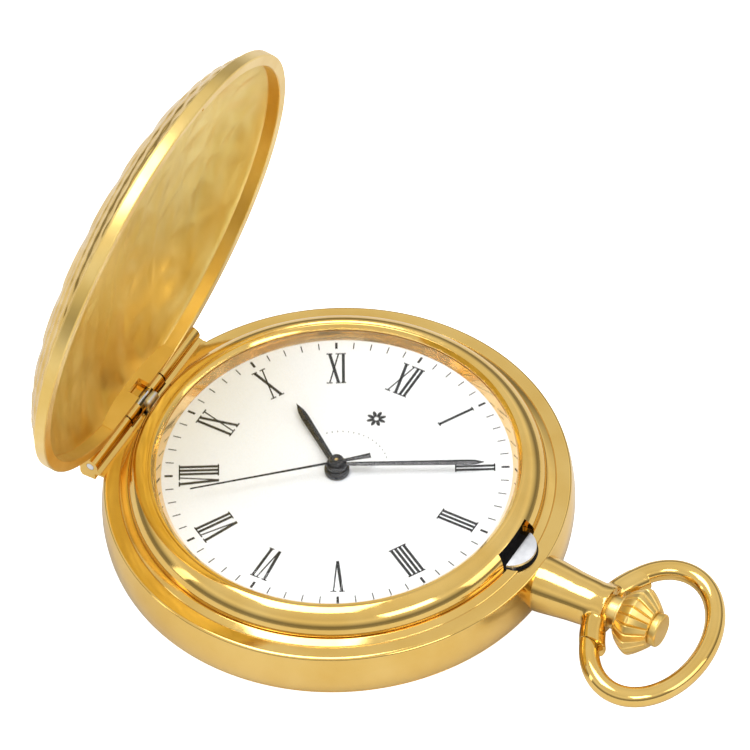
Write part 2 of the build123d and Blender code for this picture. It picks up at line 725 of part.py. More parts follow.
def ratchet_wheel():
    phase = mesh_phase(CROWN_WHEEL, 26, crown_wheel_phase(), BARREL, 30)
    wheel = gear(BARREL, *RATCHET_Z, teeth=30, module=M_WIND, phase=phase)
    return wheel - Pos(BARREL[0], BARREL[1], 2.9) * Box(0.8, 0.8, 2)


def ratchet_screw():
    screw = tube(0.95, 0, 2.25, 2.58, BARREL) + tube(0.2, 0, 2.5, 4.0, BARREL)
    return screw - Pos(BARREL[0], BARREL[1], 2.25) * Box(2.2, 0.2, 0.24)


def crown_wheel_phase():
    """A tooth of the crown wheel lies beside the winding pinion's lowest tooth."""
    return 180.0 / 26


def crown_wheel():
    return gear(CROWN_WHEEL, *RATCHET_Z, teeth=26, module=M_WIND, phase=crown_wheel_phase(), bore=1.04)


def crown_wheel_core():
    """The shouldered core and screw that the crown wheel turns on."""
    core = tube(1.0, 0, 2.6, 3.33, CROWN_WHEEL) + tube(1.5, 0, 2.3, 2.6, CROWN_WHEEL)
    return core - Pos(CROWN_WHEEL[0], CROWN_WHEEL[1], 2.3) * Box(3.2, 0.2, 0.24)


CLICK_PIVOT = polar(M_WIND * 15 + 2.6, 150.0, BARREL)


def click():
    """The pawl that stops the ratchet wheel from running back."""
    toe = polar(M_WIND * 15 + 0.59, 132.0, BARREL)
    z0, z1 = RATCHET_Z[0], RATCHET_Z[0] + 0.4
    body = link(CLICK_PIVOT, toe, 0.55, z0, z1) + tube(0.8, 0, z0, z1, CLICK_PIVOT)
    return body - tube(0.36, 0, 2, 4, CLICK_PIVOT)


def click_screw():
    return tube(0.32, 0, 2.5, 3.18, CLICK_PIVOT) + tube(0.62, 0, 2.3, 2.55, CLICK_PIVOT)


def centre_wheel():
    """Centre wheel and pinion on a hollow arbor."""
    wheel = gear(CENTRE, *CENTRE_WHEEL_Z, teeth=64, module=M_CENTRE, rim=0.55, hub=1.0)
    pinion = gear(CENTRE, 5.4, 5.95, teeth=10, module=M_BARREL)
    body = wheel + pinion + tube(0.6, 0, 4.3, 6.1) + tube(0.42, 0, 6.1, 7.05)
    return body - tube(0.27, 0, 4, 8)


def third_wheel():
    pinion_phase = mesh_phase(CENTRE, 64, 0.0, THIRD, 8)
    body = gear(THIRD, *THIRD_WHEEL_Z, teeth=60, module=M_THIRD, rim=0.5, hub=0.9)
    body += gear(THIRD, 4.2, 4.65, teeth=8, module=M_CENTRE, phase=pinion_phase)
    return body + arbor(THIRD, 3.3, 6.1)


def seconds_wheel():
    """The fourth wheel, whose long arbor carries the centre seconds hand."""
    phase = mesh_phase(THIRD, 60, 0.0, CENTRE, 8)
    body = gear(CENTRE, *SECONDS_WHEEL_Z, teeth=70, module=M_SECONDS, rim=0.45, hub=0.9)
    body += gear(CENTRE, 3.82, 4.15, teeth=8, module=M_THIRD, phase=phase)
    return body + tube(0.1, 0, 2.85, 3.3) + tube(0.2, 0, 3.3, 10.9)


def escape_wheel():
    """Fifteen club teeth, driven through a seven-leaf pinion."""
    points = []
    for i in range(15):
        a = i * 24.0
        points += [polar(1.85, a), polar(2.5, a + 7.0), polar(2.62, a + 10.5), polar(1.9, a + 9.5)]
    windows = Circle(1.55) - Circle(0.6) - Rectangle(3.4, 0.35) - Rectangle(0.35, 3.4)
    blank = make_face(outline(*points)) - windows
    phase = mesh_phase(CENTRE, 70, 0.0, ESCAPE, 7)
    body = Pos(ESCAPE[0], ESCAPE[1], ESCAPE_Z[0]) * extrude(blank, ESCAPE_Z[1] - ESCAPE_Z[0])
    body += gear(ESCAPE, 3.4, 3.8, teeth=7, module=M_SECONDS, phase=phase)
    return body + arbor(ESCAPE, 3.3, 6.1, r=0.2)


def pallet_fork():
    """Lever between escape wheel and balance, with its two stones."""
    place = Pos(PALLET[0], PALLET[1], 4.92) * Rot(0, 0, heading(PALLET, BALANCE))
    face = Pos(1.1, 0) * Rectangle(2.3, 0.3) + Rectangle(0.55, 2.9) + Pos(2.1, 0) * Rectangle(0.18, 0.8)
    for side in (-1, 1):
        face += Pos(2.3, side * 0.32) * Rectangle(0.55, 0.22)
    body = place * extrude(face, 0.16)
    for side in (-1, 1):
        body += place * Pos(-0.32, side * 1.3, -0.06) * Box(0.4, 0.24, 0.2)
    return body + tube(0.16, 0, 4.74, 6.15, PALLET) + tube(0.1, 0, 4.45, 6.55, PALLET)


def balance_wheel():
    """Balance rim on its staff, with the roller and impulse pin."""
    face = Circle(4.5) - Circle(4.0) + Rectangle(8.4, 0.5) + Circle(0.7)
    body = Pos(BALANCE[0], BALANCE[1], 3.9) * extrude(face, 0.2)
    body += tube(4.5, 4.0, *BALANCE_Z, BALANCE) + arbor(BALANCE, 3.35, 6.1, r=0.22)
    line = heading(BALANCE, PALLET)
    pin = polar(0.85, line, BALANCE)
    return body + tube(1.05, 0, 5.14, 5.28, BALANCE) + tube(0.09, 0, 4.9, 5.2, pin)


def hairspring():
    """Flat spiral from the balance staff to the cock."""
    turns, strip = 5, 0.07
    points = []
    for i in range(turns * 12 + 1):
        share = i / (turns * 12)
        points.append((*polar(0.55 + share * 1.9, share * turns * 360.0), 0))
    face = trace(Spline(*points), strip)
    collet = tube(0.58, 0.24, 3.38, 3.62, BALANCE)
    return Pos(BALANCE[0], BALANCE[1], 3.42) * extrude(face, 0.16) + collet


def cannon_pinion():
    body = gear(CENTRE, 7.1, 7.75, teeth=10, module=M_MOTION, phase=-35.0) + tube(0.58, 0, 7.1, 10.28)
    return body - tube(0.44, 0, 7, 7.1) - tube(0.3, 0, 7, 11)


def minute_wheel():
    wheel_phase = mesh_phase(CENTRE, 10, -35.0, MINUTE, 30)
    body = gear(MINUTE, 7.25, 7.5, teeth=30, module=M_MOTION, phase=wheel_phase)
    body += gear(MINUTE, 7.5, 8.3, teeth=8, module=M_MOTION)
    return body - tube(0.3, 0, 7, 9, MINUTE)


def minute_wheel_post():
    return tube(0.26, 0, 6.92, 8.4, MINUTE) + tube(0.5, 0, 6.92, 7.2, MINUTE)


def hour_wheel():
    phase = mesh_phase(MINUTE, 8, 0.0, CENTRE, 32)
    body = gear(CENTRE, 7.95, 8.2, teeth=32, module=M_MOTION, phase=phase) + tube(0.94, 0, 7.95, 9.76)
    return body - tube(0.63, 0, 7, 10)


def setting_wheel():
    wheel_phase = mesh_phase(CENTRE, 10, -35.0, MINUTE, 30)
    phase = mesh_phase(MINUTE, 30, wheel_phase, SETTING, SETTING_TEETH)
    body = gear(SETTING, 7.25, 7.5, teeth=SETTING_TEETH, module=M_MOTION, phase=phase)
    return body - tube(0.34, 0, 7, 8, SETTING)


def setting_wheel_post():
    return tube(0.3, 0, 6.92, 7.65, SETTING) + tube(0.5, 0, 6.92, 7.2, SETTING)


PIN_Y = 0.66                         # setting lever's pin, beside the stem's groove
NIB_Y = 1.04                         # yoke's nib, beside the clutch's groove
LEVER_ARM, YOKE_ARM = 2.4, 3.9
LEVER_PIVOT = (GROOVE_X + 0.5, PIN_Y + math.sqrt(LEVER_ARM**2 - 0.25))
YOKE_PIVOT = (CLUTCH_X + 0.175, NIB_Y + math.sqrt(YOKE_ARM**2 - 0.25))


def lever(pivot, tip, width, foot_z):
    """A flat lever from its pivot to a pin that reaches down to the stem."""
    body = link(pivot, tip, width, 7.0, 7.25) + tube(0.65, 0, 7.0, 7.25, pivot)
    body += tube(0.2, 0, foot_z, 7.1, tip)
    return body - tube(0.34, 0, 6.9, 7.4, pivot)


def setting_lever():
    """Pulled by the stem's groove."""
    return lever(LEVER_PIVOT, (GROOVE_X, PIN_Y), 0.9, 4.35)


def yoke():
    """The lever whose nib rides in the clutch's groove."""
    return lever(YOKE_PIVOT, (CLUTCH_X + 0.675, NIB_Y), 0.8, 4.4)


def lever_posts():
    """Screws that the setting lever and the yoke turn on."""
    posts = []
    for at in (LEVER_PIVOT, YOKE_PIVOT):
        posts.append(tube(0.3, 0, 6.92, 7.3, at) + tube(0.55, 0, 7.28, 7.5, at))
    return solids(*posts)


def movement_clamps():
    """Two dog screws that hold the movement in its ring."""
    screws = []
    for angle in (70.0, 250.0):
        at = polar(13.9, angle)
        screws.append(tube(1.1, 0, 3.0, 3.3, at) + tube(0.3, 0, 3.3, 3.34, at))
    return solids(*screws)


NODES = {
    "case_band": case_band,
    "hinge_plate": hinge_plate,
    "hinge_pin": hinge_pin,
    "case_back": case_back,
    "bezel": bezel,
    "crystal": crystal,
    "flange_ring": flange_ring,
    "pendant": pendant,
    "front_cover": lid_cover,
    "cover_knuckles": lid_knuckles,
    "bow": bow,
    "crown": crown,
    "crown_cap": crown_cap,
    "crown_gasket": crown_gasket,
    "crown_plunger": crown_plunger,
    "winding_stem": winding_stem,
    "sliding_pinion": sliding_pinion,
    "winding_pinion": winding_pinion,
    "latch_spring": latch_spring,
    "lift_spring": lift_spring,
    "dial": dial,
    "hour_hand": hour_hand,
    "minute_hand": minute_hand,
    "seconds_hand": seconds_hand,
    "movement_ring": movement_ring,
    "mainplate": mainplate,
    "barrel_bridge": barrel_bridge,
    "train_bridge": train_bridge,
    "balance_cock": balance_cock,
    "pallet_bridge": pallet_bridge,
    "bridge_screws": bridge_screws,
    "movement_clamps": movement_clamps,
    "jewels": jewels,
    "barrel_drum": barrel_drum,
    "barrel_cover": barrel_cover,
    "barrel_arbor": barrel_arbor,
    "mainspring": mainspring,
    "ratchet_wheel": ratchet_wheel,
    "ratchet_screw": ratchet_screw,
    "crown_wheel": crown_wheel,
    "crown_wheel_core": crown_wheel_core,
    "click": click,
    "click_screw": click_screw,
    "centre_wheel": centre_wheel,
    "third_wheel": third_wheel,
    "seconds_wheel": seconds_wheel,
    "escape_wheel": escape_wheel,
    "pallet_fork": pallet_fork,
    "balance_wheel": balance_wheel,
    "hairspring": hairspring,
    "cannon_pinion": cannon_pinion,
    "minute_wheel": minute_wheel,
    "minute_wheel_post": minute_wheel_post,
    "hour_wheel": hour_wheel,
    "setting_wheel": setting_wheel,
    "setting_wheel_post": setting_wheel_post,
    "setting_lever": setting_lever,
    "yoke": yoke,
    "lever_posts": lever_posts,
}

os.makedirs("parts", exist_ok=True)
for node, make in NODES.items():
    export_step(make(), f"parts/{node}.step")
print(len(NODES), "nodes")
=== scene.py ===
"""Looks for the hunter-case pocket watch: polished and engraved case, printed dial, faceted
hands, studio light. Outlines are in millimetres and turned into metres when a mesh is made."""
import json
import math

import bmesh
import bpy
from mathutils import Matrix, Vector


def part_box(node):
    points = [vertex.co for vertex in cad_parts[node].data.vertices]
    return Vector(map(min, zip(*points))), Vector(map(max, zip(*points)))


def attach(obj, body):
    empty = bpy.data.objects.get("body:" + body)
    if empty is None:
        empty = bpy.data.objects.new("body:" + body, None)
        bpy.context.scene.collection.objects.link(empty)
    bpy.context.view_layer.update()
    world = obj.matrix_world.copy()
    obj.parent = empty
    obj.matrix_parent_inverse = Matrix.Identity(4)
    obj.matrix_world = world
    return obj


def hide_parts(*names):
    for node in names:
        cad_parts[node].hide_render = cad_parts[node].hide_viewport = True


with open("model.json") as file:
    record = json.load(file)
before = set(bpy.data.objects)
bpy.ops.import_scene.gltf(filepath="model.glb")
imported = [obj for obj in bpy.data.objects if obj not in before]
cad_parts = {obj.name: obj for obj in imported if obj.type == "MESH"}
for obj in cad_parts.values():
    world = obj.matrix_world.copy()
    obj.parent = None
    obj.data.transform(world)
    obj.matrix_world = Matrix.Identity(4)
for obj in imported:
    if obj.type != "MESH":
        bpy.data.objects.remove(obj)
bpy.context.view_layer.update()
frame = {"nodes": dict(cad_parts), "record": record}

MM = 0.001
NODES = frame["nodes"]
JOINTS = {joint["name"]: joint for joint in frame["record"]["behaviour"]["joints"]}


def top_of(node):
    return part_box(node)[1].z / MM


# Sizes that the frame gives, in millimetres.
DIAL_Z = top_of("dial")
BAND_FOOT_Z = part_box("case_band")[0].z / MM
HINGE = Vector(JOINTS["cover_hinge"]["pos_m"]) / MM
COVER_OPEN = math.radians(-JOINTS["cover_hinge"]["range_deg"][0])
STEM_Z = JOINTS["crown_turn"]["pos_m"][2] / MM
BOW_PIVOT = Vector(JOINTS["bow_swing"]["pos_m"]) / MM

# Sizes of the cover, in its closed place.
COVER_R, COVER_INNER_R = 23.7, 22.35
COVER_RIM_Z = 7.75
COVER_BAND = 1.25                   # height of the plain band round the rim
COVER_CUT = -22.15                  # where the cover is cut straight for the hinge
TIP_WAY = 1.05                      # half width of its window behind the lift spring
DIMPLE_U, DIMPLE_V = 0.18, 0.28     # dimples per millimetre, along the cover and across it
DIMPLE_DEPTH = 0.14

# Sizes of the hinge side of the case.
HINGE_STEP = (-25.5, -21.35, -11.0, 11.0, 7.0, 9.5)             # cut from the band, as x, y and z spans
SPRING_WAY = (-22.45, -21.45, -1.25, 1.25, 6.5, 7.2)            # for the lift spring's finger
HINGE_WALL_HALF, HINGE_WALL_THICK = 6.2, 0.65                   # the cover's wall there

# Sizes of the latch and its slot at 3 o'clock.
TONGUE_MIDDLE = 20.2                # middle of the tongue's rounded end
TONGUE_R, TONGUE_HALF = 2.65, 2.5
TONGUE_FOOT_X = 21.05
TONGUE_Z = (8.1, 8.45)
RECESS_R, RECESS_HALF = 2.8, 2.65   # of the hollow in the band under the tongue
RECESS_Z = 7.4
CATCH_X, CATCH_HALF = 21.9, 2.8     # the notch in the cover that the tongue holds
CATCH_MOUTH = 22.85
SLOT_X = 19.7                       # inner face of the slot
SLOT_FOOT, SLOT_HEAD = (7.95, 3.3), (9.9, 2.7)      # height and half width at its foot and head

# Sizes of the pendant, bow and crown.
EAR_Y = 5.0
EAR_R = 1.36
BORE_R = 1.75
WIRE_R = 1.05
WIRE_GAP = 0.04                     # between an ear and the end of the bow
BOW_REACH, BOW_A, BOW_B = 4.38, 5.6, 8.65   # pivot to the middle of the oval, and its half axes
BOW_DROOP = math.radians(12.0)
CROWN_RIBS = 22
GROOVE_SHARE = 0.15                 # half width of a groove, in ribs

TURN = 2 * math.pi


# ------------------------------------------------------------------ camera
AZIMUTH, ELEVATION, ROLL = (math.radians(a) for a in (31.87, 48.33, -2.985))
CAMERA_DISTANCE = 1200.0
CAMERA_SLIDE = (3.876, 9.490)       # of the camera along its own right and up
LENS = 566.9


def make_camera():
    back = Vector((
        math.sin(AZIMUTH) * math.cos(ELEVATION),
        -math.cos(AZIMUTH) * math.cos(ELEVATION),
        math.sin(ELEVATION),
    ))
    level = Vector((0, 0, 1)).cross(back).normalized()
    upright = back.cross(level)
    right = math.cos(ROLL) * level + math.sin(ROLL) * upright
    up = math.cos(ROLL) * upright - math.sin(ROLL) * level
    camera = bpy.data.objects.new("camera", bpy.data.cameras.new("camera"))
    bpy.context.scene.collection.objects.link(camera)
    place = Vector((0, 0, DIAL_Z + 0.5)) + CAMERA_DISTANCE * back
    place += CAMERA_SLIDE[0] * right + CAMERA_SLIDE[1] * up
    turn = Matrix((right, up, back)).transposed().to_4x4()
    camera.matrix_world = Matrix.Translation(place * MM) @ turn
    camera.data.lens = LENS
    camera.data.sensor_width = 36.0
    camera.data.clip_start, camera.data.clip_end = 0.05, 10.0
    bpy.context.scene.camera = camera


# ------------------------------------------------------------------ outlines
def soften(points, steps=5, closed=True):
    """Rounds each corner of an outline. A point is (r, z) or (r, z, size of the rounding)."""
    out = []
    count = len(points)
    for i, point in enumerate(points):
        here = Vector(point[:2])
        size = point[2] if len(point) > 2 else 0.0
        if size == 0 or (not closed and i in (0, count - 1)):
            out.append((here.x, here.y))
            continue
        before = Vector(points[i - 1][:2]) - here
        after = Vector(points[(i + 1) % count][:2]) - here
        a = here + before.normalized() * min(size, before.length * 0.45)
        b = here + after.normalized() * min(size, after.length * 0.45)
        for k in range(steps + 1):
            t = k / steps
            spot = a * (1 - t) ** 2 + here * 2 * t * (1 - t) + b * t * t
            out.append((spot.x, spot.y))
    return out


def bulge(a, b, sag, count=8):
    """Points between a and b, not including them, on a parabola that stands out by sag to the left."""
    a, b = Vector(a), Vector(b)
    along = b - a
    side = Vector((-along.y, along.x)).normalized()
    points = []
    for k in range(1, count):
        t = k / count
        spot = a + along * t + side * (4 * sag * t * (1 - t))
        points.append((spot.x, spot.y))
    return points


def dome(top, r, edge, count=24):
    """Points of a shallow dome from near its middle out to its edge."""
    rise = top - edge
    ball = (r * r + rise * rise) / (2 * rise)
    points = []
    for k in range(1, count + 1):
        x = r * k / count
        points.append((x, top - ball + math.sqrt(ball * ball - x * x)))
    return points


# ------------------------------------------------------------------ meshes
def sharpen(bm, degrees=28.0):
    """Smooth shading, with edges steeper than this left sharp."""
    limit = math.radians(degrees)
    for face in bm.faces:
        face.smooth = True
    for edge in bm.edges:
        if len(edge.link_faces) == 2:
            edge.smooth = edge.calc_face_angle(0.0) < limit


def piece(name, bm, degrees=28.0, move=None):
    """A mesh object from a bmesh in millimetres, which it frees."""
    bmesh.ops.remove_doubles(bm, verts=bm.verts, dist=1e-5)
    bmesh.ops.recalc_face_normals(bm, faces=bm.faces)
    sharpen(bm, degrees)
    if move is not None:
        bm.transform(move)
    bm.transform(Matrix.Scale(MM, 4))
    mesh = bpy.data.meshes.new(name)
    bm.to_mesh(mesh)
    bm.free()
    obj = bpy.data.objects.new(name, mesh)
    bpy.context.scene.collection.objects.link(obj)
    return obj


def lathe_mesh(outline, segments=288, closed=True, shift=None):
    """Turns an outline of (r, z) about Z. shift(k, r, angle) gives what to add to a point's r and z."""
    bm = bmesh.new()
    rings = []
    for k, (r, z) in enumerate(outline):
        if r < 1e-6:
            rings.append([bm.verts.new((0, 0, z))])
            continue
        ring = []
        for i in range(segments):
            angle = TURN * i / segments
            dr, dz = shift(k, r, angle) if shift else (0.0, 0.0)
            ring.append(bm.verts.new(((r + dr) * math.cos(angle), (r + dr) * math.sin(angle), z + dz)))
        rings.append(ring)
    pairs = list(zip(rings, rings[1:]))
    if closed:
        pairs.append((rings[-1], rings[0]))
    for low, high in pairs:
        for i in range(segments):
            j = (i + 1) % segments
            if len(low) == 1 and len(high) == 1:
                break
            if len(low) == 1:
                bm.faces.new((low[0], high[j], high[i]))
            elif len(high) == 1:
                bm.faces.new((low[i], low[j], high[0]))
            else:
                bm.faces.new((low[i], low[j], high[j], high[i]))
    return bm


def plate_mesh(outline, z0, z1, bm=None):
    """A flat plate with this outline of (x, y)."""
    bm = bm or bmesh.new()
    low = [bm.verts.new((x, y, z0)) for x, y in outline]
    high = [bm.verts.new((x, y, z1)) for x, y in outline]
    bm.faces.new(low[::-1])
    bm.faces.new(high)
    for i in range(len(outline)):
        j = (i + 1) % len(outline)
        bm.faces.new((low[i], low[j], high[j], high[i]))
    return bm


def block_mesh(x0, x1, y0, y1, z0, z1):
    return plate_mesh([(x0, y0), (x1, y0), (x1, y1), (x0, y1)], z0, z1)


def carve(obj, cutter_bm, operation="DIFFERENCE"):
    """Cuts a bmesh, in millimetres, out of an object, and keeps the result as its mesh."""
    cutter = piece("cutter", cutter_bm)
    modifier = obj.modifiers.new("cut", "BOOLEAN")
    modifier.operation = operation
    modifier.solver = "EXACT"
    modifier.object = cutter
    bake(obj)
    bpy.data.objects.remove(cutter)
    return obj


def bake(obj):
    """Applies an object's modifiers to its mesh."""
    bpy.context.view_layer.update()
    shape = obj.evaluated_get(bpy.context.evaluated_depsgraph_get())
    mesh = bpy.data.meshes.new_from_object(shape)
    obj.modifiers.clear()
    obj.data = mesh
    bm = bmesh.new()
    bm.from_mesh(mesh)
    sharpen(bm)
    bm.to_mesh(mesh)
    bm.free()
    return obj


def merge(name, objs):
    """Joins objects' meshes into one."""
    bm = bmesh.new()
    for obj in objs:
        bm.from_mesh(obj.data)
        bpy.data.objects.remove(obj)
    mesh = bpy.data.meshes.new(name)
    bm.to_mesh(mesh)
    bm.free()
    obj = bpy.data.objects.new(name, mesh)
    bpy.context.scene.collection.objects.link(obj)
    return obj


def settle(obj, body, slot, material, *nodes):
    """Gives a piece its material and its body, and hides the CAD nodes that it stands for."""
    obj.data.materials.clear()
    obj.data.materials.append(material)
    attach(obj, body)
    if nodes:
        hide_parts(*nodes)
    return obj


def paint_slot_shade(obj, chosen):
    """Paints shade on the faces inside a slot, with the black print material. chosen(middle of a face)
    picks them.
    """
    obj.data.materials.append(PRINT_AND_SHADE)
    for face in obj.data.polygons:
        if chosen(face.center / MM):
            face.material_index = 1


def opened():
    """Turns from the closed cover to the cover as it stands."""
    return (
        Matrix.Translation(HINGE)
        @ Matrix.Rotation(COVER_OPEN, 4, Vector((0, -1, 0)))
        @ Matrix.Translation(-HINGE)
    )


# ------------------------------------------------------------------ materials
class Surface:
    """A material under construction, with its shader and the position that its patterns use."""

    def __init__(self, name, color, metallic, roughness):
        self.material = bpy.data.materials.new(name)
        self.material.use_nodes = True
        self.tree = self.material.node_tree
        self.shader = self.tree.nodes["Principled BSDF"]
        self.shader.inputs["Base Color"].default_value = (*color, 1.0)
        self.shader.inputs["Metallic"].default_value = metallic
        self.shader.inputs["Roughness"].default_value = roughness
        self.place = self.tree.nodes.new("ShaderNodeTexCoord").outputs["Object"]

    def link(self, a, b):
        self.tree.links.new(a, b)

    def stretched(self, scale):
        """The position, scaled by three numbers, for a grain with a direction."""
        node = self.tree.nodes.new("ShaderNodeMapping")
        node.inputs["Scale"].default_value = scale
        self.link(self.place, node.inputs["Vector"])
        return node.outputs["Vector"]

    def noise(self, scale, detail=4.0, place=None):
        node = self.tree.nodes.new("ShaderNodeTexNoise")
        node.inputs["Scale"].default_value = scale
        node.inputs["Detail"].default_value = detail
        self.link(place or self.place, node.inputs["Vector"])
        return node.outputs["Fac"]

    def ramp(self, value, low, high, socket, span=(0.35, 0.65)):
        """Sets a number socket from a pattern, between low and high."""
        node = self.tree.nodes.new("ShaderNodeMapRange")
        node.inputs["From Min"].default_value, node.inputs["From Max"].default_value = span
        node.inputs["To Min"].default_value, node.inputs["To Max"].default_value = low, high
        self.link(value, node.inputs["Value"])
        self.link(node.outputs["Result"], self.shader.inputs[socket])

    def tint(self, value, dark, light, span=(0.35, 0.65)):
        """Colours the surface from a pattern, between dark and light."""
        node = self.tree.nodes.new("ShaderNodeValToRGB")
        node.color_ramp.elements[0].position, node.color_ramp.elements[1].position = span
        node.color_ramp.elements[0].color = (*dark, 1.0)
        node.color_ramp.elements[1].color = (*light, 1.0)
        self.link(value, node.inputs["Fac"])
        self.link(node.outputs["Color"], self.shader.inputs["Base Color"])

    def bump(self, value, strength, depth_mm):
        node = self.tree.nodes.new("ShaderNodeBump")
        node.inputs["Strength"].default_value = strength
        node.inputs["Distance"].default_value = depth_mm * MM
        self.link(value, node.inputs["Height"])
        self.link(node.outputs["Normal"], self.shader.inputs["Normal"])


def polished_gold():
    """The case, pendant and bow: a mirror with a few fine waves."""
    s = Surface("polished_gold", (0.82, 0.55, 0.17), 1.0, 0.08)
    s.tint(s.noise(160), (0.79, 0.51, 0.14), (0.85, 0.58, 0.19))
    s.ramp(s.noise(900, 6.0), 0.06, 0.12, "Roughness")
    s.bump(s.noise(420, 2.0), 0.03, 0.01)
    return s.material


def satin_gold():
    """The inside of the cover: a soft sheen with a grain drawn out along Z."""
    s = Surface("satin_gold", (0.86, 0.60, 0.17), 1.0, 0.36)
    s.tint(s.noise(150, 3.0, s.stretched((1.0, 1.0, 0.4))), (0.79, 0.60, 0.17), (0.93, 0.75, 0.29))
    s.ramp(s.noise(500, 3.0, s.stretched((1.0, 1.0, 0.3))), 0.30, 0.42, "Roughness")
    s.bump(s.noise(2600, 3.0, s.stretched((1.0, 1.0, 0.3))), 0.12, 0.01)
    return s.material


def rim_gold():
    """The cover's band and lip, the crown and its cap, worn to a soft sheen."""
    s = Surface("rim_gold", (0.87, 0.62, 0.20), 1.0, 0.32)
    s.tint(s.noise(200), (0.83, 0.57, 0.17), (0.91, 0.66, 0.24))
    s.ramp(s.noise(300, 3.0), 0.28, 0.35, "Roughness")
    s.bump(s.noise(600, 2.0), 0.03, 0.01)
    return s.material


def engraved_gold():
    """The cover's outside, a little duller than the case."""
    s = Surface("engraved_gold", (0.80, 0.54, 0.17), 1.0, 0.16)
    s.tint(s.noise(300), (0.74, 0.48, 0.13), (0.85, 0.59, 0.21))
    s.ramp(s.noise(1400, 5.0), 0.12, 0.24, "Roughness")
    s.bump(s.noise(5200, 2.0), 0.25, 0.012)
    return s.material


def rose_mirror():
    """The flange ring: a mirror of slightly pinker gold."""
    s = Surface("rose_mirror", (0.95, 0.66, 0.33), 1.0, 0.03)
    s.tint(s.noise(240), (0.93, 0.63, 0.30), (0.97, 0.70, 0.37))
    s.ramp(s.noise(700), 0.02, 0.06, "Roughness")
    return s.material


def brushed_silver():
    s = Surface("brushed_silver", (0.80, 0.81, 0.84), 1.0, 0.45)
    s.tint(s.noise(900), (0.66, 0.67, 0.70), (0.80, 0.81, 0.84))
    s.ramp(s.noise(2200, 4.0, s.stretched((1.0, 0.15, 1.0))), 0.36, 0.52, "Roughness")
    s.bump(s.noise(3000, 3.0, s.stretched((1.0, 0.1, 1.0))), 0.3, 0.01)
    return s.material


def dial_white():
    """Silvered dial with a fine frosted grain."""
    s = Surface("dial_white", (0.9, 0.9, 0.9), 0.0, 0.42)
    s.tint(s.noise(6500, 2.0), (0.90, 0.925, 0.96), (0.95, 0.97, 1.0))
    s.ramp(s.noise(3000), 0.36, 0.5, "Roughness")
    s.bump(s.noise(7000, 2.0), 0.25, 0.01)
    return s.material


# Black for the dial's print, also used as painted shade inside the latch slot and the recess under the
# tongue.
def printed_black_and_painted_shade():
    s = Surface("printed_black_and_painted_shade", (0.012, 0.012, 0.014), 0.0, 0.45)
    s.tint(s.noise(2500), (0.008, 0.008, 0.01), (0.02, 0.02, 0.023))
    s.ramp(s.noise(1800), 0.38, 0.55, "Roughness")
    return s.material


def lacquer_black():
    s = Surface("lacquer_black", (0.014, 0.014, 0.016), 0.0, 0.2)
    s.tint(s.noise(1200), (0.010, 0.010, 0.012), (0.022, 0.022, 0.025))
    s.ramp(s.noise(1500), 0.14, 0.28, "Roughness")
    s.bump(s.noise(2400), 0.1, 0.01)
    return s.material


def clear_crystal():
    """Thin clear glass that bends the dial's print hardly at all."""
    s = Surface("clear_crystal", (1.0, 1.0, 1.0), 0.0, 0.0)
    s.shader.inputs["Transmission Weight"].default_value = 1.0
    s.shader.inputs["IOR"].default_value = 1.02
    s.shader.inputs["Coat Weight"].default_value = 1.0
    s.shader.inputs["Coat Roughness"].default_value = 0.02
    s.shader.inputs["Alpha"].default_value = 0.22
    s.ramp(s.noise(300), 0.0, 0.015, "Roughness")
    return s.material


def plated(name, dark, light, rough, grain=1200):
    """A plain movement metal with a fine grain."""
    s = Surface(name, light, 1.0, sum(rough) / 2)
    s.tint(s.noise(grain), dark, light)
    s.ramp(s.noise(grain * 2), *rough, "Roughness")
    s.bump(s.noise(grain * 3), 0.15, 0.01)
    return s.material


def ruby():
    s = Surface("ruby", (0.62, 0.03, 0.12), 0.0, 0.08)
    s.shader.inputs["Transmission Weight"].default_value = 0.5
    s.tint(s.noise(2000), (0.5, 0.02, 0.09), (0.72, 0.05, 0.16))
    return s.material


def seal_rubber():
    s = Surface("seal_rubber", (0.02, 0.02, 0.02), 0.0, 0.7)
    s.tint(s.noise(1500), (0.015, 0.015, 0.015), (0.035, 0.035, 0.035))
    s.bump(s.noise(3000), 0.3, 0.02)
    return s.material


GOLD = polished_gold()
SATIN = satin_gold()
ENGRAVED = engraved_gold()
RIM = rim_gold()
MIRROR = rose_mirror()
SILVER = brushed_silver()
DIAL = dial_white()
PRINT_AND_SHADE = printed_black_and_painted_shade()
LACQUER = lacquer_black()
CRYSTAL = clear_crystal()
BY_SLOT = {
    "gold": GOLD,
    "gold_satin": SATIN,
    "crystal": CRYSTAL,
    "dial": DIAL,
    "black": LACQUER,
    "steel": plated("polished_steel", (0.62, 0.63, 0.66), (0.75, 0.76, 0.79), (0.12, 0.25)),
    "brass": plated("gilt_brass", (0.72, 0.52, 0.22), (0.85, 0.64, 0.30), (0.18, 0.32)),
    "nickel": plated("nickel_plate", (0.64, 0.63, 0.61), (0.78, 0.77, 0.75), (0.18, 0.34), 700),
    "blued": plated("blued_steel", (0.03, 0.06, 0.22), (0.06, 0.12, 0.38), (0.12, 0.22)),
    "ruby": ruby(),
    "seal": seal_rubber(),
}


def finish_cad_nodes():
    """Every CAD node gets the material of its slot."""
    for part in frame["record"]["subparts"]:
        mesh = NODES[part["node"]].data
        mesh.materials.clear()
        mesh.materials.append(BY_SLOT[part["material_slot"]])


# ------------------------------------------------------------------ case
def latch_slot_cutter():
    """The slot at 3 o'clock, wider at the bezel's foot, with slanted ends."""
    bm = bmesh.new()
    ends = []
    for z, half in (SLOT_FOOT, SLOT_HEAD):
        corners = ((SLOT_X, -half), (23, -half), (23, half), (SLOT_X, half))
        ends.append([bm.verts.new((x, y, z)) for x, y in corners])
    low, high = ends
    bm.faces.new(low)
    bm.faces.new(high)
    for i in range(4):
        j = (i + 1) % 4
        bm.faces.new((low[i], low[j], high[j], high[i]))
    return bm


